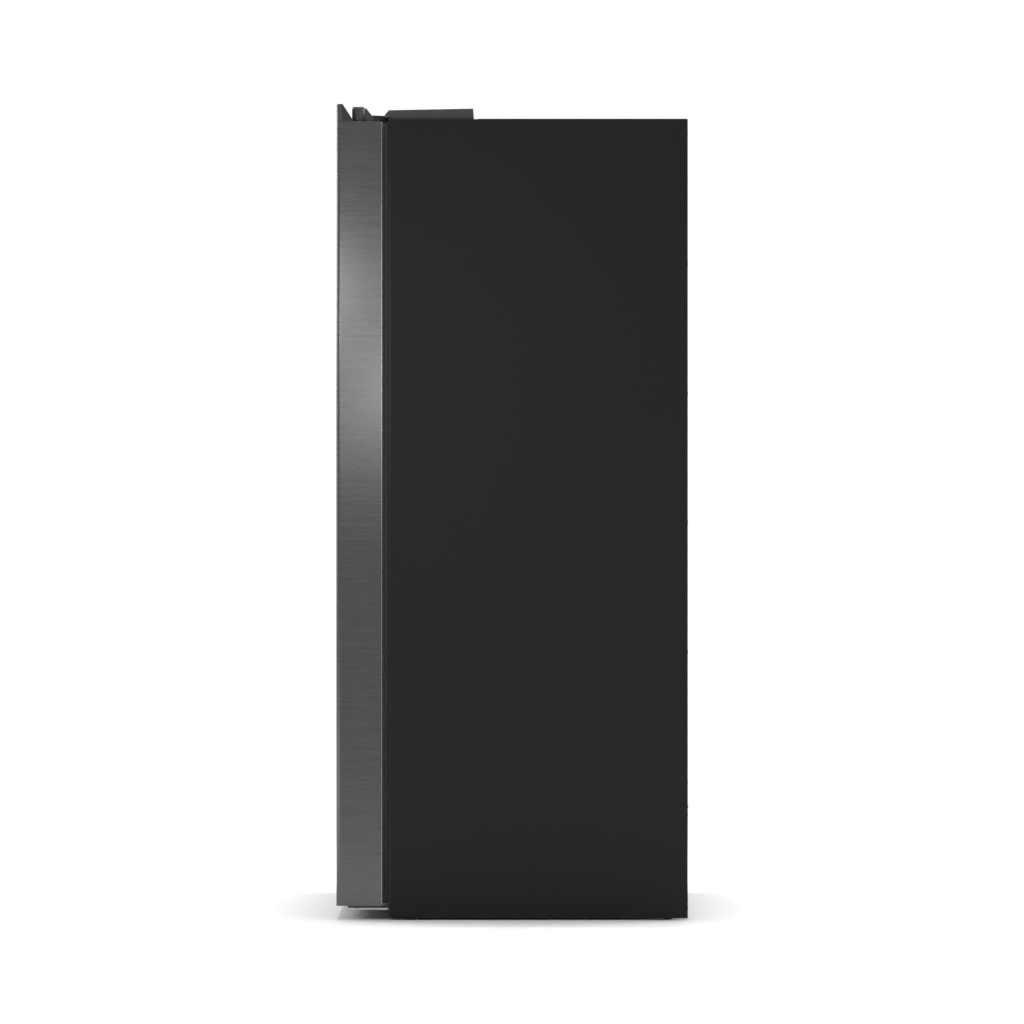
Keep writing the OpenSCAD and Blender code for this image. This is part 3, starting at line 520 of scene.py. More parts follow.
def add_block(bm, x, y, z):
    """Adds a closed box between [low, high] pairs."""
    corners = [bm.verts.new((x[i], y[j], z[k])) for i in (0, 1) for j in (0, 1) for k in (0, 1)]
    for quad in ((0, 1, 3, 2), (4, 6, 7, 5), (0, 4, 5, 1), (2, 3, 7, 6), (0, 2, 6, 4), (1, 5, 7, 3)):
        bm.faces.new([corners[i] for i in quad])


def add_lathe(bm, profile, centre, axis="z", steps=40):
    """Adds a body of revolution; profile is (radius, height) from end to end."""
    rings = []
    for radius, height in profile:
        ring = []
        for i in range(steps):
            turn = 2 * math.pi * i / steps
            a, b = radius * math.cos(turn), radius * math.sin(turn)
            local = {"z": (a, b, height), "y": (a, height, b), "x": (height, a, b)}[axis]
            ring.append(bm.verts.new(Vector(centre) + Vector(local)))
        rings.append(ring)
    for low, high in zip(rings, rings[1:]):
        for i in range(steps):
            j = (i + 1) % steps
            bm.faces.new([low[i], low[j], high[j], high[i]])
    bm.faces.new(rings[0][::-1])
    bm.faces.new(rings[-1])


def blocks_piece(name, boxes, node, finish, width=0.0, segments=2):
    """One piece of several boxes with eased edges."""
    bm = bmesh.new()
    for x, y, z in boxes:
        add_block(bm, x, y, z)
    bevel_all(bm, width, segments)
    piece(name, from_bmesh(name, bm), node, finish)


def turned_piece(name, node, finish, turned, axis="z", steps=40):
    """One piece of several turned shapes, each a (profile, centre) pair."""
    bm = bmesh.new()
    for profile, centre in turned:
        add_lathe(bm, profile, centre, axis, steps)
    piece(name, from_bmesh(name, bm), node, finish)


def tube_piece(name, points, radius, node, finish, loop=False):
    """A round tube or wire along points: eased through them, or a closed loop of straights."""
    curve = bpy.data.curves.new(name, "CURVE")
    curve.dimensions = "3D"
    curve.bevel_depth = radius
    curve.bevel_resolution = 4
    curve.resolution_u = 6
    if loop:
        spline = curve.splines.new("POLY")
        spline.points.add(len(points) - 1)
        for knot, place in zip(spline.points, points):
            knot.co = (*place, 1)
        spline.use_cyclic_u = True
    else:
        spline = curve.splines.new("BEZIER")
        spline.bezier_points.add(len(points) - 1)
        for knot, place in zip(spline.bezier_points, points):
            knot.co = place
            knot.handle_left_type = knot.handle_right_type = "AUTO"
        curve.use_fill_caps = True
    obj = bpy.data.objects.new(name, curve)
    bpy.context.scene.collection.objects.link(obj)
    curve.materials.append(FINISHES[finish])
    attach(obj, BODY_OF[node])


def span(node):
    """A node's extent as three (low, high) pairs."""
    return list(zip(*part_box(node)))


def middle(pair):
    return (pair[0] + pair[1]) / 2


def around(centre, half):
    """The (low, high) pair that reaches as far each way."""
    return (centre - half, centre + half)


def inset(pair, low_in, high_in=None):
    """A (low, high) pair drawn in at its ends; a negative distance draws it out."""
    return (pair[0] + low_in, pair[1] - (low_in if high_in is None else high_in))


def from_edge(edge, way, near, far):
    """The (low, high) pair between two distances from an edge, in one direction."""
    return sorted((edge + way * near, edge + way * far))


def solids_of(node):
    """The boxes of a node's separate solids, each as three (low, high) pairs."""
    obj = NODES[node]
    mesh = obj.data
    corners = {}
    ids = [corners.setdefault(tuple(round(c, 5) for c in v.co), len(corners)) for v in mesh.vertices]
    leader = list(range(len(corners)))

    def root(i):
        while leader[i] != i:
            leader[i] = leader[leader[i]]
            i = leader[i]
        return i

    for face in mesh.polygons:
        first = root(ids[face.vertices[0]])
        for vertex in face.vertices[1:]:
            leader[root(ids[vertex])] = first
    groups = {}
    for corner, i in corners.items():
        groups.setdefault(root(i), []).append(obj.matrix_world @ Vector(corner))
    return [[(min(p[k] for p in group), max(p[k] for p in group)) for k in range(3)]
            for _, group in sorted(groups.items())]


def loop_tube(name, x, z, y, radius, node, finish, corner_r=0.006):
    """A closed bead round an upright rectangle of x by z, with rounded corners."""
    bend_steps = 4
    corners = [Vector(c) for c in ((x[0], y, z[0]), (x[1], y, z[0]), (x[1], y, z[1]), (x[0], y, z[1]))]
    points = []
    for i, corner in enumerate(corners):
        before = corners[i - 1] - corner
        after = corners[(i + 1) % len(corners)] - corner
        reach = corner_r / math.tan(before.angle(after) / 2)
        start = corner + before.normalized() * reach
        end = corner + after.normalized() * reach
        for k in range(bend_steps + 1):
            t = k / bend_steps
            points.append((1 - t) ** 2 * start + 2 * t * (1 - t) * corner + t * t * end)
    tube_piece(name, points, radius, node, finish, loop=True)


def ring_boxes(a, b, bar, depth, upright=True):
    """Four bars that frame a rectangle of a by b: x by z if it is upright, or else x by y."""
    bars = [
        (a, (b[1] - bar, b[1])),
        (a, (b[0], b[0] + bar)),
        ((a[0], a[0] + bar), inset(b, bar)),
        ((a[1] - bar, a[1]), inset(b, bar)),
    ]
    return [(p, depth, q) if upright else (p, q, depth) for p, q in bars]


def screws_piece(name, centres, facing, node, head_r=0.0045, head_h=0.0022, finish="hinge_steel"):
    """Pan-head screws with crossed slots; facing is (axis, sign)."""
    axis, sign = facing
    outline = ((head_r, 0), (head_r, head_h * 0.5), (head_r * 0.78, head_h * 0.9), (head_r * 0.25, head_h))
    head = [(r, h * sign) for r, h in outline]
    turned_piece(name, node, finish, [(head, centre) for centre in centres], axis, 20)
    long_half, thin_half, proud = head_r * 0.55, head_r * 0.11, head_h * 1.03
    facing_axis = "xyz".index(axis)
    across = [i for i in range(3) if i != facing_axis]
    slots = bmesh.new()
    for centre in centres:
        for halves in ((long_half, thin_half), (thin_half, long_half)):
            spans = [around(centre[i], half) for i, half in zip(across, halves)]
            spans.insert(facing_axis, from_edge(centre[facing_axis], sign, 0, proud))
            add_block(slots, *spans)
    piece(name + "_slots", from_bmesh(name + "_slots", slots), node, "black_plastic", 0)


# ---------------------------------------------------------------- the case's pieces


def hinge_washers():
    """A bright collar on each upper pin, and a plug in the back of each hinge cover."""
    washer_r = 0.0070
    washer = [(washer_r, DOOR_TOP + 0.0002), (washer_r, DOOR_TOP + 0.0016)]
    plug = [(0.006, 0.0), (0.006, 0.0008), (0.0045, 0.0014)]
    plug_back, plug_in, plug_sunk = 0.175, 0.032, 0.0016
    for side, name in SIDES:
        x = side * HINGE_X
        turned_piece("hinge_washer_" + name, "top_hinges", "hinge_steel", [(washer, (x, HINGE_Y, 0))])
        at = (x - side * plug_in, HINGE_Y + plug_back, COVER_TOP - plug_sunk)
        turned_piece("cover_plug_" + name, "hinge_covers", "black_plastic", [(plug, at)])


def case_hems():
    """Folded seams along the top panel's sides and back, with three screws."""
    x, y, z = span("top_panel")
    raised = (z[1], z[1] + 0.0007)
    hem_w, side_in, back_in, clear_of_covers = 0.010, 0.0005, 0.002, 0.19
    boxes = []
    for side, _ in SIDES:
        edge = side * (x[1] - side_in)
        boxes.append((from_edge(edge, -side, 0, hem_w), inset(y, clear_of_covers, back_in), raised))
    boxes.append((inset(x, 0.012), (y[1] - 0.014, y[1] - back_in), raised))
    blocks_piece("top_hem", boxes, "top_panel", "dark_panel", 0.0003)
    places = [(at, y[1] - 0.008, raised[1]) for at in (-0.32, 0, 0.32)]
    screws_piece("top_screws", places, ("z", 1), "top_panel", 0.004, 0.0018, "black_plastic")


def back_pressings():
    """Stiffening ribs, foam plugs, screws and a blank plate on the back."""
    x, y, z = span("back_panel")
    face = y[1]
    rib_pitch, rib_half, rib_proud = 0.15, 0.014, 0.0018
    ribs = [(around(i * rib_pitch, rib_half), (face - 0.0004, face + rib_proud), inset(z, 0.16, 0.12))
            for i in range(-2, 3)]
    blocks_piece("back_ribs", ribs, "back_panel", "galvanised", 0.0016, 3)
    plug = [(0.016, 0), (0.016, 0.0008), (0.013, 0.0016), (0.004, 0.0019)]
    plugs = [(plug, (across, face, height)) for across in (-0.225, 0.225)
             for height in (z[0] + 0.09, z[1] - 0.06)]
    turned_piece("foam_plugs", "back_panel", "grey_plastic", plugs, "y", 36)
    screw_rows = 6
    pitch = (z[1] - z[0] - 0.08) / (screw_rows - 1)
    places = [(side * (x[1] - SCREW_IN), face, z[0] + 0.05 + i * pitch)
              for side, _ in SIDES for i in range(screw_rows)]
    screws_piece("back_screws", places, ("y", 1), "back_panel", head_h=LOW_HEAD)
    plate = [((0.33, 0.41), (face - 0.0003, face + 0.0004), (z[0] + 0.10, z[0] + 0.15))]
    blocks_piece("blank_plate", plate, "back_panel", "fin_aluminium", 0.0002)


def machine_cover_details():
    """Louvre hoods, edge folds and screws of the machine compartment's cover."""
    x, y, z = span("machine_cover")
    face = y[1]
    slot_pitch, first_slot, last_slot, slot_h = 0.022, 0.040, 0.18, 0.041
    lefts = [x[0] + first_slot + i * slot_pitch for i in range(26)]
    hoods = [((left - 0.0012, left), (face - 0.0012, face + 0.0022), (row + 0.001, row + slot_h))
             for left in lefts if left <= last_slot for row in (0.060, 0.125, 0.190)]
    blocks_piece("cover_louvres", hoods, "machine_cover", "galvanised", 0.0004, 1)
    places = [(side * (x[1] - SCREW_IN), face, height) for side, _ in SIDES
              for height in (z[0] + 0.02, z[1] - 0.02)]
    places += [(across, face, z[1] - SCREW_IN) for across in (0.1, -0.2)]
    screws_piece("cover_screws", places, ("y", 1), "machine_cover", head_h=LOW_HEAD)
    proud = (face - 0.0002, face + 0.0012)
    folds = [(x, proud, (z[1] - 0.006, z[1])), (x, proud, (z[0], z[0] + 0.004))]
    blocks_piece("cover_folds", folds, "machine_cover", "galvanised", 0.0004)


def compressor_details():
    """The weld seam, terminal box, bolts and refrigerant tubes."""
    node = "compressor"
    x, y, _ = span(node)
    cx, cy = middle(x), middle(y)
    shell_r, seam = 0.078, 0.0022
    bead = [(shell_r, 0.098), (shell_r + seam, 0.1), (shell_r + seam, 0.104), (shell_r, 0.106)]
    turned_piece("compressor_seam", node, "compressor_black", [(bead, (cx, cy, 0))], "z", 64)
    box = [(around(cx, 0.026), (cy + shell_r - 0.008, cy + shell_r + 0.018), (0.088, 0.148))]
    blocks_piece("terminal_box", box, node, "black_plastic", 0.003, 3)
    bolts = bmesh.new()
    bolt_x, bolt_y = 0.078, 0.027
    for side, _ in SIDES:
        for depth in (-bolt_y, bolt_y):
            at = (cx + side * bolt_x, cy + depth, 0)
            add_lathe(bolts, [(0.0085, 0.034), (0.0085, 0.0355)], at)
            add_lathe(bolts, [(0.0055, 0.0355), (0.0055, 0.0415), (0.0048, 0.0425)], at, "z", HEXAGON)
    piece("compressor_bolts", from_bmesh("compressor_bolts", bolts), node, "hinge_steel")
    discharge = ((-0.038, -0.020, 0.208), (-0.038, -0.020, 0.228), (-0.075, -0.032, 0.236),
                 (-0.150, -0.058, 0.234), (-0.178, -0.060, 0.205), (-0.176, -0.060, 0.184))
    suction = ((0.042, 0.022, 0.204), (0.042, 0.022, 0.226), (0.060, -0.010, 0.236),
               (0.070, -0.060, 0.238), (0.070, -0.104, 0.240))
    for name, route, radius in (("discharge_tube", discharge, 0.0032), ("suction_tube", suction, 0.0042)):
        points = [(cx + dx, cy + dy, height) for dx, dy, height in route]
        tube_piece(name, points, radius, node, "copper")


def condenser_bends():
    """The hairpins that join the condenser's tubes, end to end."""
    x, y, _ = max(solids_of("condenser"), key=lambda b: (b[0][1] - b[0][0]) * (b[2][1] - b[2][0]))
    ends = (x[0] + 0.001, x[0] + 0.181)
    first_tube, tube_rise, tube_r = 0.078, 0.026, 0.004
    bend = ((0, 0), (0.009, 0.004), (0.013, 0.013), (0.009, 0.022), (0, tube_rise))
    for row, depth in enumerate((y[0] + 0.022, y[0] + 0.075, y[1] - 0.022), 1):
        for step in range(4):
            low = first_tube + step * tube_rise
            way = (-1, 1)[step % 2]
            points = [(ends[step % 2] + way * out, depth, low + up) for out, up in bend]
            tube_piece("condenser_bend_%d_%d" % (row, step + 1), points, tube_r, "condenser", "copper")


def underside_details():
    """A nut and a screw thread on each levelling foot."""
    node = "leveling_feet"
    thread_low, thread_pitch, root_r, crest_r = 0.016, 0.0022, 0.0050, 0.0056
    for side, name in SIDES:
        x, y, _ = [b for b in solids_of(node) if b[0][0] * side > 0][0]
        at = (middle(x), middle(y), 0)
        nut = [(0.0095, 0.008), (0.0095, 0.0145)]
        turned_piece("foot_nut_" + name, node, "hinge_steel", [(nut, at)], "z", HEXAGON)
        thread = []
        for i in range(9):
            h = thread_low + i * thread_pitch
            thread.append(([(root_r, h), (crest_r, h + 0.0007), (root_r, h + 0.0014)], at))
        turned_piece("foot_thread_" + name, node, "hinge_steel", thread, "z", 24)


def lower_hinge_bolts():
    """The bolts that hold the lower hinges."""
    node = "bottom_hinges"
    bolt = [(0.0048, 0), (0.0048, -0.0028), (0.004, -0.0034)]
    bolt_apart, bolt_z = 0.008, 0.046
    for side, name in SIDES:
        _, y, _ = [b for b in solids_of(node) if b[0][0] * side > 0][0]
        bolts = [(bolt, (side * HINGE_X + dx, y[1] - 0.003, bolt_z)) for dx in (-bolt_apart, bolt_apart)]
        turned_piece("lower_bolts_" + name, node, "hinge_steel", bolts, "y", HEXAGON)


# ---------------------------------------------------------------- inside the case


def shelf_trims():
    """A white frame round each glass shelf, and the rails that carry it."""
    for node in ("fridge_shelves", "freezer_shelves"):
        side = node.split("_")[0]
        for number, (x, y, z) in enumerate(solids_of(node), 1):
            wide = inset(x, -0.001)
            lay = inset(z, -0.0012)
            edges = ((x[0], 1), (x[1], -1))
            boxes = [(wide, (y[0] - 0.004, y[0] + 0.014), inset(z, -0.002)),
                     (wide, (y[1] - 0.010, y[1] + 0.001), lay)]
            boxes += [(from_edge(edge, way, -0.001, 0.012), inset(y, 0.0138, 0.0098), lay)
                      for edge, way in edges]
            blocks_piece("%s_shelf_frame_%d" % (side, number), boxes, node, "white_liner", 0.0009)
            rails = [(from_edge(edge, way, -0.002, 0.007), inset(y, 0.012), (z[0] - 0.0095, z[0] - 0.002))
                     for edge, way in edges]
            blocks_piece("%s_shelf_rails_%d" % (side, number), rails, node, "white_liner", 0.0012)


def drawer_trims():
    """Each drawer's bezel, grip and front ribs, and the crispers' vents."""
    front_t, bezel_w, ribs_across, rib_half = 0.008, 0.011, 7, 0.0012
    for node in ("freezer_drawer_upper", "freezer_drawer_lower", "crisper_upper", "crisper_lower"):
        x, y, z = span(node)
        face = y[0] + front_t
        bars = ring_boxes(x, z, bezel_w, (face - 0.0016, face + 0.0002))
        blocks_piece(node + "_bezel", bars, node, "white_liner", 0.0007)
        grip = [(inset(x, 0.028), (y[0] - 0.001, face - 0.0004), (z[1] - 0.018, z[1] - 0.003))]
        blocks_piece(node + "_grip", grip, node, "grey_plastic", 0.0022, 3)
        ribs = [(around(x[0] + i * (x[1] - x[0]) / ribs_across, rib_half),
                 (face - 0.0012, face + 0.0002), inset(z, 0.016, 0.030)) for i in range(1, ribs_across)]
        blocks_piece(node + "_ribs", ribs, node, "clear_bin", 0.0004)
        if node.startswith("crisper"):
            mid = middle(x)
            plate = [(around(mid, 0.038), (face - 0.0022, face), (z[1] - 0.047, z[1] - 0.033))]
            blocks_piece(node + "_vent_plate", plate, node, "grey_plastic", 0.0008)
            knob = [((mid - 0.024, mid - 0.006), (face - 0.0052, face - 0.0020),
                     (z[1] - 0.044, z[1] - 0.036))]
            blocks_piece(node + "_vent_slide", knob, node, "white_liner", 0.0012)


def liner_details():
    """Bezels round the lights' lenses, and the studs that carry the shelves."""
    bezel_w = 0.006
    for number, (x, y, z) in enumerate(solids_of("interior_lights"), 1):
        bars = ring_boxes(inset(x, -bezel_w), inset(y, -bezel_w), bezel_w, (z[1] - 0.0035, z[1]), False)
        blocks_piece("light_bezel_%d" % number, bars, "interior_lights", "white_liner", 0.0008)
    stud_rows, first_stud, stud_pitch = 7, 0.24, 0.13
    for node, liner in (("fridge_shelves", "fridge_liner"), ("freezer_shelves", "freezer_liner")):
        x, y, z = span(node)
        studs = []
        for wall, way in ((x[0] - 0.002, 1), (x[1] + 0.002, -1)):
            stud = [(0.0055, 0), (0.0055, 0.0012 * way), (0.0042, 0.0022 * way)]
            studs += [(stud, (wall, depth, z[0] + first_stud + i * stud_pitch))
                      for i in range(stud_rows) for depth in (y[0] + 0.06, y[1] - 0.07)]
        turned_piece(liner + "_studs", liner, "white_liner", studs, "x", 20)


def air_tower_details():
    """Louvre blades in the air tower's slots, and a seam round its face."""
    x, y, z = span("air_tower")
    slot_pitch, first_slot, top_clear = 0.11, 0.075, 0.062
    blades = []
    height = z[0] + first_slot
    while height < z[1] - top_clear:
        blades.append((inset(x, 0.013), (y[0] - 0.0022, y[0] + 0.0006), (height + 0.0075, height + 0.0095)))
        height += slot_pitch
    blocks_piece("tower_louvres", blades, "air_tower", "white_liner", 0.0006)
    seams = ring_boxes(inset(x, 0.004), inset(z, 0.006), 0.0016, (y[0] - 0.0007, y[0] + 0.0002))
    blocks_piece("tower_seam", seams, "air_tower", "grey_plastic")


def evaporator_cover_details():
    """Raised rims round the fan grille and the return slots, and screws."""
    node = "evaporator_cover"
    x, y, z = span(node)
    fan_x, _, fan_z = span("evaporator_fan")
    grille = (around(middle(fan_x), 0.058), around(middle(fan_z), 0.056))
    slots = (inset(x, 0.014), (z[0] + 0.012, z[0] + 0.078))
    loop_tube("fan_grille_rim", *grille, y[0], 0.0018, node, "white_liner", 0.02)
    loop_tube("return_rim", *slots, y[0], 0.0016, node, "white_liner", 0.012)
    places = [(side, y[0], z[1] - 0.03 - i * 0.3) for side in inset(x, 0.014) for i in range(3)]
    screws_piece("evaporator_screws", places, ("y", -1), node)


def ice_maker_details():
    """The ejector's fingers and shaft, the cover and the wire arm of the ice maker."""
    node = "ice_maker"
    x, y, z = span(node)
    mid = middle(y)
    first, pitch, finger_w, cups = 0.0225, 0.027, 0.012, 7
    fingers = []
    for i in range(cups):
        left = x[0] + first + i * pitch
        fingers.append(((left, left + finger_w), (mid - 0.003, mid + 0.034), (z[0] + 0.058, z[0] + 0.061)))
    fingers.append((inset(x, 0.004, 0.055), around(mid, 0.004), (z[0] + 0.056, z[0] + 0.064)))
    blocks_piece("ice_ejector", fingers, node, "grey_plastic", 0.0012)
    front = y[0] - 0.004
    arm = [(x[1] - 0.030, front + 0.006, z[0] + 0.040), (x[1] - 0.034, front - 0.006, z[0] + 0.030),
           (x[1] - 0.060, front - 0.010, z[0] + 0.004), (x[0] + 0.060, front - 0.010, z[0] + 0.004),
           (x[0] + 0.012, front - 0.004, z[0] + 0.026), (x[0] + 0.006, front + 0.006, z[0] + 0.030)]
    tube_piece("ice_arm", arm, 0.0014, node, "hinge_steel")
    cover = [((x[1] - 0.044, x[1] - 0.003), (y[0] - 0.002, y[0] + 0.001), (z[0] + 0.004, z[0] + 0.070))]
    blocks_piece("ice_module_cover", cover, node, "white_liner", 0.0012)


def filter_details():
    """Grip ribs round the filter's cap, and a coloured band behind them."""
    node = "water_filter"
    x, y, z = span(node)
    cx, cz = middle(x), middle(z)
    cap_r = (x[1] - x[0]) / 2
    rib_r, rib_sunk, rib_count = 0.0010, 0.0003, 28
    ribs = []
    for i in range(rib_count):
        turn = 2 * math.pi * i / rib_count
        reach = cap_r - rib_sunk
        at = (cx + reach * math.cos(turn), y[0] + 0.009, cz + reach * math.sin(turn))
        ribs.append(([(rib_r, 0), (rib_r, 0.022)], at))
    turned_piece("filter_grip", node, "filter_white", ribs, "y", 8)
    band_r = cap_r + 0.0007
    band = [(cap_r, 0), (band_r, 0.0006), (band_r, 0.006), (cap_r, 0.0066)]
    turned_piece("filter_band", node, "valve_blue", [(band, (cx, y[0] + 0.040, cz))], "y", 48)


def fan_details():
    """A domed cap on each fan's hub."""
    dome = ((0.0142, 0), (0.0138, 0.003), (0.0110, 0.0052), (0.0060, 0.0064), (0.0010, 0.0067))
    for node, axis, sign in (("evaporator_fan", "y", -1), ("condenser_fan", "x", 1)):
        box = span(node)
        centre = [middle(pair) for pair in box]
        k = "xyz".index(axis)
        centre[k] = box[k][1 if sign > 0 else 0]
        cap = [(r, h * sign) for r, h in dome]
        turned_piece(node + "_cap", node, "fan_plastic", [(cap, centre)], axis, 32)


# ---------------------------------------------------------------- the doors' pieces


def gasket_folds():
    """The bellows of each door's gasket, as three beads, and the dark fin over its top."""
    bead_r = 0.0021
    for door in DOORS:
        node = door + "_gasket"
        x, y, z = span(node)
        for number, share in enumerate((0.22, 0.5, 0.78), 1):
            depth = y[0] + share * (y[1] - y[0])
            loop_tube("%s_gasket_fold_%d" % (door, number), x, z, depth, bead_r, node, "gasket_rubber")
        fin = [(x, inset(y, 0.0006), (z[1] - 0.001, DOOR_TOP + 0.0012))]
        blocks_piece(node + "_fin", fin, node, "black_plastic", 0.0008)


def bin_trims():
    """A white rail along each door bin's inner edge, a rim, and ribs on its face."""
    rim_t, rim_proud, rib_half, rib_gaps = 0.0034, 0.0006, 0.0010, 9
    for node in ("freezer_door_bins", "fridge_door_bins"):
        for number, (x, y, z) in enumerate(solids_of(node), 1):
            name = "%s_%d" % (node[:-5], number)
            rail = [(inset(x, -rim_proud), (y[1] - 0.0036, y[1] + 0.0014), (z[1] - 0.020, z[1] + 0.001))]
            blocks_piece(name + "_rail", rail, node, "white_liner", 0.0014, 3)
            lip = (z[1] - 0.004, z[1] + 0.001)
            ends = [(from_edge(edge, way, -rim_proud, rim_t), (y[0], y[1] - 0.0030), lip)
                    for edge, way in ((x[0], 1), (x[1], -1))]
            blocks_piece(name + "_rim", ends, node, "white_liner", 0.0008)
            ribs = [(around(x[0] + i * (x[1] - x[0]) / rib_gaps, rib_half),
                     (y[1] - 0.0004, y[1] + 0.0009), inset(z, 0.012, 0.026)) for i in range(1, rib_gaps)]
            blocks_piece(name + "_ribs", ribs, node, "clear_bin", 0.0003, 1)


def handle_details():
    """Fine grip lines down each finger pocket's back wall."""
    line_count, first_line, line_pitch, line_w = 6, 0.010, 0.006, 0.0018
    pocket_floor = 0.0372
    for door in DOORS:
        node = door + "_handle"
        x, y, z = span(node)
        inner, outer = sorted(x, key=abs)
        way = 1 if outer > inner else -1
        floor = y[0] + pocket_floor
        lines = []
        for i in range(line_count):
            at = inner + way * (first_line + i * line_pitch)
            lines.append((from_edge(at, way, 0, line_w), (floor - 0.0010, floor + 0.0006), inset(z, 0.012)))
        blocks_piece(door + "_grip_lines", lines, node, "handle_trim", 0.0004, 1)


def skin_edge_highlights():
    """A strip of lighter steel along the back edge of each door's side: a painted highlight that stands for
    the edge's bright line.
    """
    sheet = 0.0014
    for door, (side, _) in zip(DOORS, SIDES):
        x, y, z = span(door + "_skin")
        outer = x[1] if side > 0 else x[0]
        # the strip's lighter steel paints the highlight of the door's back edge
        edge = [(from_edge(outer, -side, 0, sheet), around(y[1], 0.0008), (z[0] + 0.002, DOOR_TOP - 0.001))]
        blocks_piece(door + "_skin_highlight_strip", edge, door + "_skin", "edge_highlight_steel", 0.0005)


def foot_pads():
    """A soft dark strip under the cap at the foot of each door."""
    for door in DOORS:
        x, y, z = span(door + "_caps")
        strip = [(inset(x, 0.004), inset(y, 0.026, 0.004), (z[0] - 0.0006, z[0] + 0.001))]
        blocks_piece(door + "_foot_pad", strip, door + "_caps", "gasket_rubber", 0.0003, 1)


class Marks:
    """Plain signs on the control panel, as thin flat shapes that face forward."""

    line_w = 0.0007

    def __init__(self, front):
        self.front = front

    def ring(self, bm, centre, outer, inner, steps=40, arc=1.0, start=0.0):
        """A flat ring, or part of one."""
        loops = []
        for radius in (outer, inner):
            loop = []
            for i in range(steps + 1):
                turn = start + 2 * math.pi * arc * i / steps
                loop.append(bm.verts.new((centre[0] + radius * math.cos(turn), self.front,
                                          centre[1] + radius * math.sin(turn))))
            loops.append(loop)
        for i in range(steps):
            bm.faces.new((loops[0][i], loops[0][i + 1], loops[1][i + 1], loops[1][i]))

    def bar(self, bm, start, end, width=line_w):
        a, b = Vector(start), Vector(end)
        across = Vector((a.y - b.y, b.x - a.x)).normalized() * width / 2
        corners = [a + across, a - across, b - across, b + across]
        bm.faces.new([bm.verts.new((c.x, self.front, c.y)) for c in corners])

    def outline(self, bm, points):
        for i, point in enumerate(points):
            self.bar(bm, point, points[(i + 1) % len(points)])

    def drop(self, bm, c, r):
        points = [(c[0] + r * math.cos(turn), c[1] + r * math.sin(turn))
                  for turn in (math.radians(angle) for angle in range(150, 391, 20))]
        points.append((c[0], c[1] + 2.1 * r))
        self.outline(bm, points)

    def cube(self, bm, c, r):
        half = 0.87 * r
        hexagon = [(c[0], c[1] + r), (c[0] + half, c[1] + r / 2), (c[0] + half, c[1] - r / 2),
                   (c[0], c[1] - r), (c[0] - half, c[1] - r / 2), (c[0] - half, c[1] + r / 2)]
        self.outline(bm, hexagon)
        for corner in hexagon[1::2]:
            self.bar(bm, c, corner)

    def flake(self, bm, c, r):
        arm_w, fork_w = 0.0008, 0.0006
        fork_at, fork_len, fork_angle = 0.6, 0.35 * r, 40
        for turn in (0, 60, 120):
            dx, dz = r * math.cos(math.radians(turn)), r * math.sin(math.radians(turn))
            self.bar(bm, (c[0] - dx, c[1] - dz), (c[0] + dx, c[1] + dz), arm_w)
            for sign in (-1, 1):
                tip = (c[0] + sign * dx * fork_at, c[1] + sign * dz * fork_at)
                for fork in (-fork_angle, fork_angle):
                    a = math.radians(turn + fork + (180 if sign < 0 else 0))
                    end = (tip[0] + fork_len * math.cos(a), tip[1] + fork_len * math.sin(a))
                    self.bar(bm, tip, end, fork_w)

    def padlock(self, bm, c, r):
        half, bow_r = r * 0.7, r * 0.5
        self.outline(bm, [(c[0] - half, c[1] - r), (c[0] + half, c[1] - r), (c[0] + half, c[1]),
                          (c[0] - half, c[1])])
        self.ring(bm, (c[0], c[1] + 0.0002), bow_r, bow_r - self.line_w, 20, 0.5)

    def lamp(self, bm, c, r):
        bulb_r, base_half, base_drop = r * 0.7, r * 0.3, r * 0.9
        self.ring(bm, c, bulb_r, bulb_r - self.line_w, 28, 0.8, math.radians(-54))
        self.bar(bm, (c[0] - base_half, c[1] - base_drop), (c[0] + base_half, c[1] - base_drop))


def control_panel():
    """Five lit signs with a touch ring and a light dot each, and the panel's bezel."""
    node = "dispenser_panel"
    x, y, z = span(node)
    marks = Marks(y[0] - 0.0002)
    signs = (marks.lamp, marks.flake, marks.drop, marks.cube, marks.padlock)
    chosen = (2, 3)
    pitch = (x[1] - x[0]) / len(signs)
    sign_r, sign_z, touch_z = 0.0075, middle(z) + 0.012, middle(z) - 0.018

    def show(name, number, finish, draw, *shape):
        bm = bmesh.new()
        draw(bm, *shape)
        piece("%s_%d" % (name, number), from_bmesh(name, bm), node, finish, 0)

    for number, sign in enumerate(signs, 1):
        across = x[0] + (number - 0.5) * pitch
        show("panel_sign", number, "lit_sign", sign, (across, sign_z), sign_r)
        show("touch_ring", number, "dim_sign", marks.ring, (across, touch_z), 0.0070, 0.0066)
        finish = "lit_sign" if number in chosen else "dim_sign"
        show("touch_dot", number, finish, marks.ring, (across, touch_z), 0.0014, 0.0001, 16)
    bars = ring_boxes(inset(x, -0.002), inset(z, -0.002), 0.0022, (y[0] - 0.0002, y[0] + 0.0012))
    blocks_piece("panel_bezel", bars, node, "handle_trim", 0.0006)


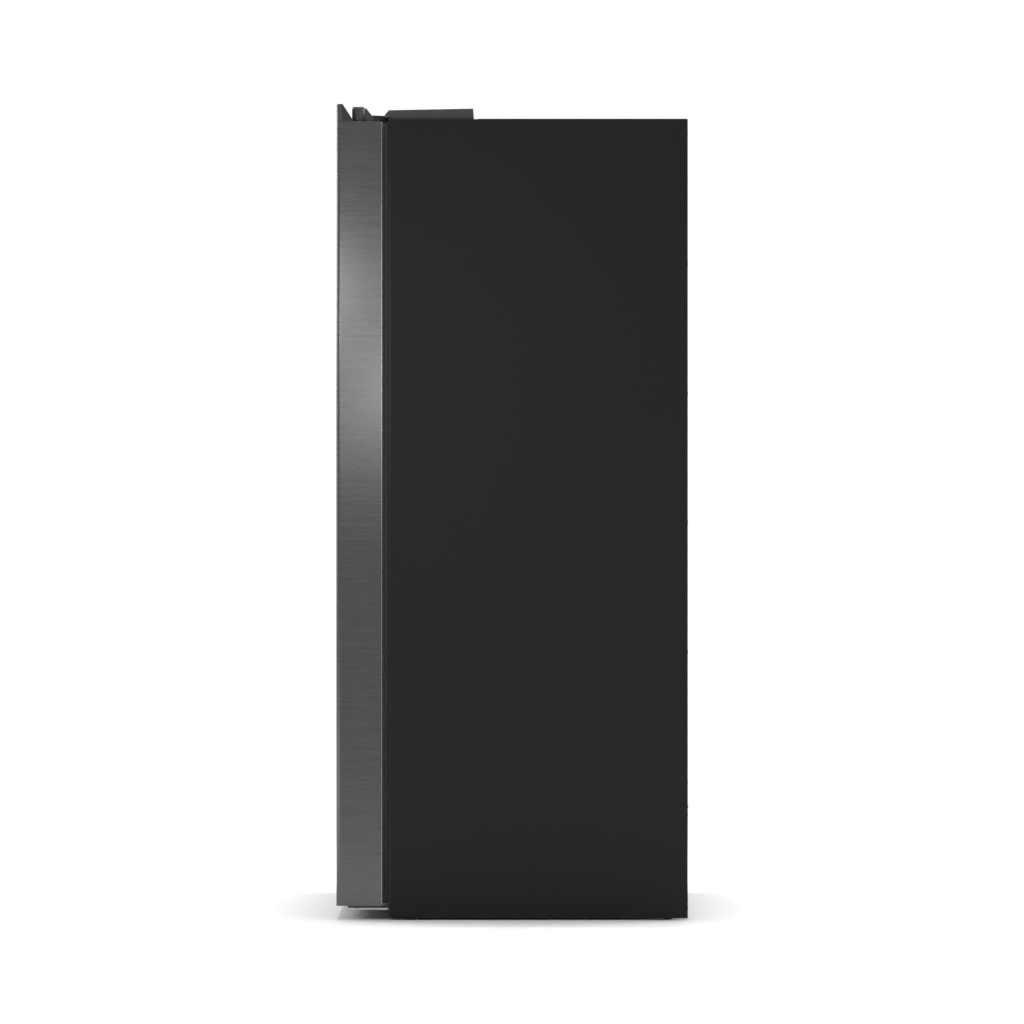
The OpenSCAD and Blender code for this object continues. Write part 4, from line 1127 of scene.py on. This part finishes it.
def dispenser_details():
    """The recess's bezel, nozzle collar, lamp and ice shield, the paddles' pads and the tray's rim."""
    node = "dispenser_housing"
    x, y, z = span(node)
    recess_top = span("dispenser_panel")[2][0] - 0.006
    bars = ring_boxes(x, (z[0], recess_top + 0.003), 0.003, (y[0] - 0.0008, y[0] + 0.0020))
    blocks_piece("dispenser_bezel", bars, node, "handle_trim", 0.0008)
    rib_low, rib_t, rib_pitch, rib_count = 0.016, 0.003, 0.010, 5
    for paddle in ("ice_paddle", "water_paddle"):
        px, py, pz = span(paddle)
        pad = [(inset(px, 0.010), (py[0] + 0.0014, py[0] + 0.0034), (pz[0] + 0.008, pz[0] + 0.072))]
        blocks_piece(paddle + "_pad", pad, paddle, "gasket_rubber", 0.0009)
        lows = [pz[0] + rib_low + i * rib_pitch for i in range(rib_count)]
        ribs = [(inset(px, 0.016), (py[0] + 0.0006, py[0] + 0.0016), (low, low + rib_t)) for low in lows]
        blocks_piece(paddle + "_ribs", ribs, paddle, "black_plastic", 0.0005, 1)
    collar = [(0.0052, -0.013), (0.0052, -0.006), (0.0068, -0.004), (0.0068, 0.0)]
    nozzle = (middle(span("water_paddle")[0]), y[0] + 0.059, recess_top)
    turned_piece("nozzle_collar", node, "hinge_steel", [(collar, nozzle)], "z", 28)
    lens = [(inset(x, 0.070), (y[0] + 0.012, y[0] + 0.022), (recess_top - 0.0022, recess_top + 0.0005))]
    blocks_piece("recess_light", lens, node, "lit_sign", 0.0008)
    shield = [(around(middle(span("ice_paddle")[0]), 0.030), (y[0] + 0.034, y[0] + 0.0365),
               (recess_top - 0.016, recess_top + 0.0005))]
    blocks_piece("ice_shield", shield, node, "black_plastic", 0.0008)
    tx, ty, tz = span("drip_tray")
    rim = ring_boxes(inset(tx, 0.004), inset(ty, 0.002), 0.004, around(tz[1], 0.0008), False)
    blocks_piece("tray_rim", rim, "drip_tray", "handle_trim", 0.0005)


EDGE_WIDTHS = {
    0.0100: ("freezer_liner", "fridge_liner"),
    0.0060: ("freezer_door_liner", "fridge_door_liner"),
    0.0020: ("freezer_door_gasket", "fridge_door_gasket", "filter_housing"),
    0.0015: ("ice_maker", "compressor"),
    0.0012: ("front_frame", "freezer_door_skin", "fridge_door_skin", "crisper_upper", "crisper_lower",
             "freezer_drawer_upper", "freezer_drawer_lower", "ice_bucket", "water_filter",
             "rear_roller_left", "rear_roller_right"),
    0.0010: ("freezer_door_bins", "fridge_door_bins", "air_tower", "dispenser_housing", "water_valve",
             "drain_pan"),
    0.0009: ("hinge_covers",),
    0.0008: ("leveling_feet",),
    0.0007: ("drip_tray",),
    0.0006: ("side_panel_right", "side_panel_left", "ice_paddle", "water_paddle", "bottom_hinges",
             "evaporator_cover", "cord_gland", "auger"),
    0.0005: ("toe_grille", "freezer_door_caps", "fridge_door_caps", "freezer_door_handle",
             "fridge_door_handle"),
    0.0004: ("top_panel", "top_hinges", "base_frame", "evaporator_fan", "condenser_fan"),
    0.0003: ("machine_cover",),
}


def ease_all():
    """Breaks the sharp edges of the nodes that show."""
    for width, nodes in EDGE_WIDTHS.items():
        for node in nodes:
            ease_edges(node, width)


set_camera()
set_studio()
dress_nodes()
ease_all()
hinge_washers()
case_hems()
back_pressings()
machine_cover_details()
compressor_details()
condenser_bends()
underside_details()
lower_hinge_bolts()
shelf_trims()
drawer_trims()
liner_details()
air_tower_details()
evaporator_cover_details()
ice_maker_details()
filter_details()
fan_details()
gasket_folds()
bin_trims()
handle_details()
skin_edge_highlights()
foot_pads()
control_panel()
dispenser_details()
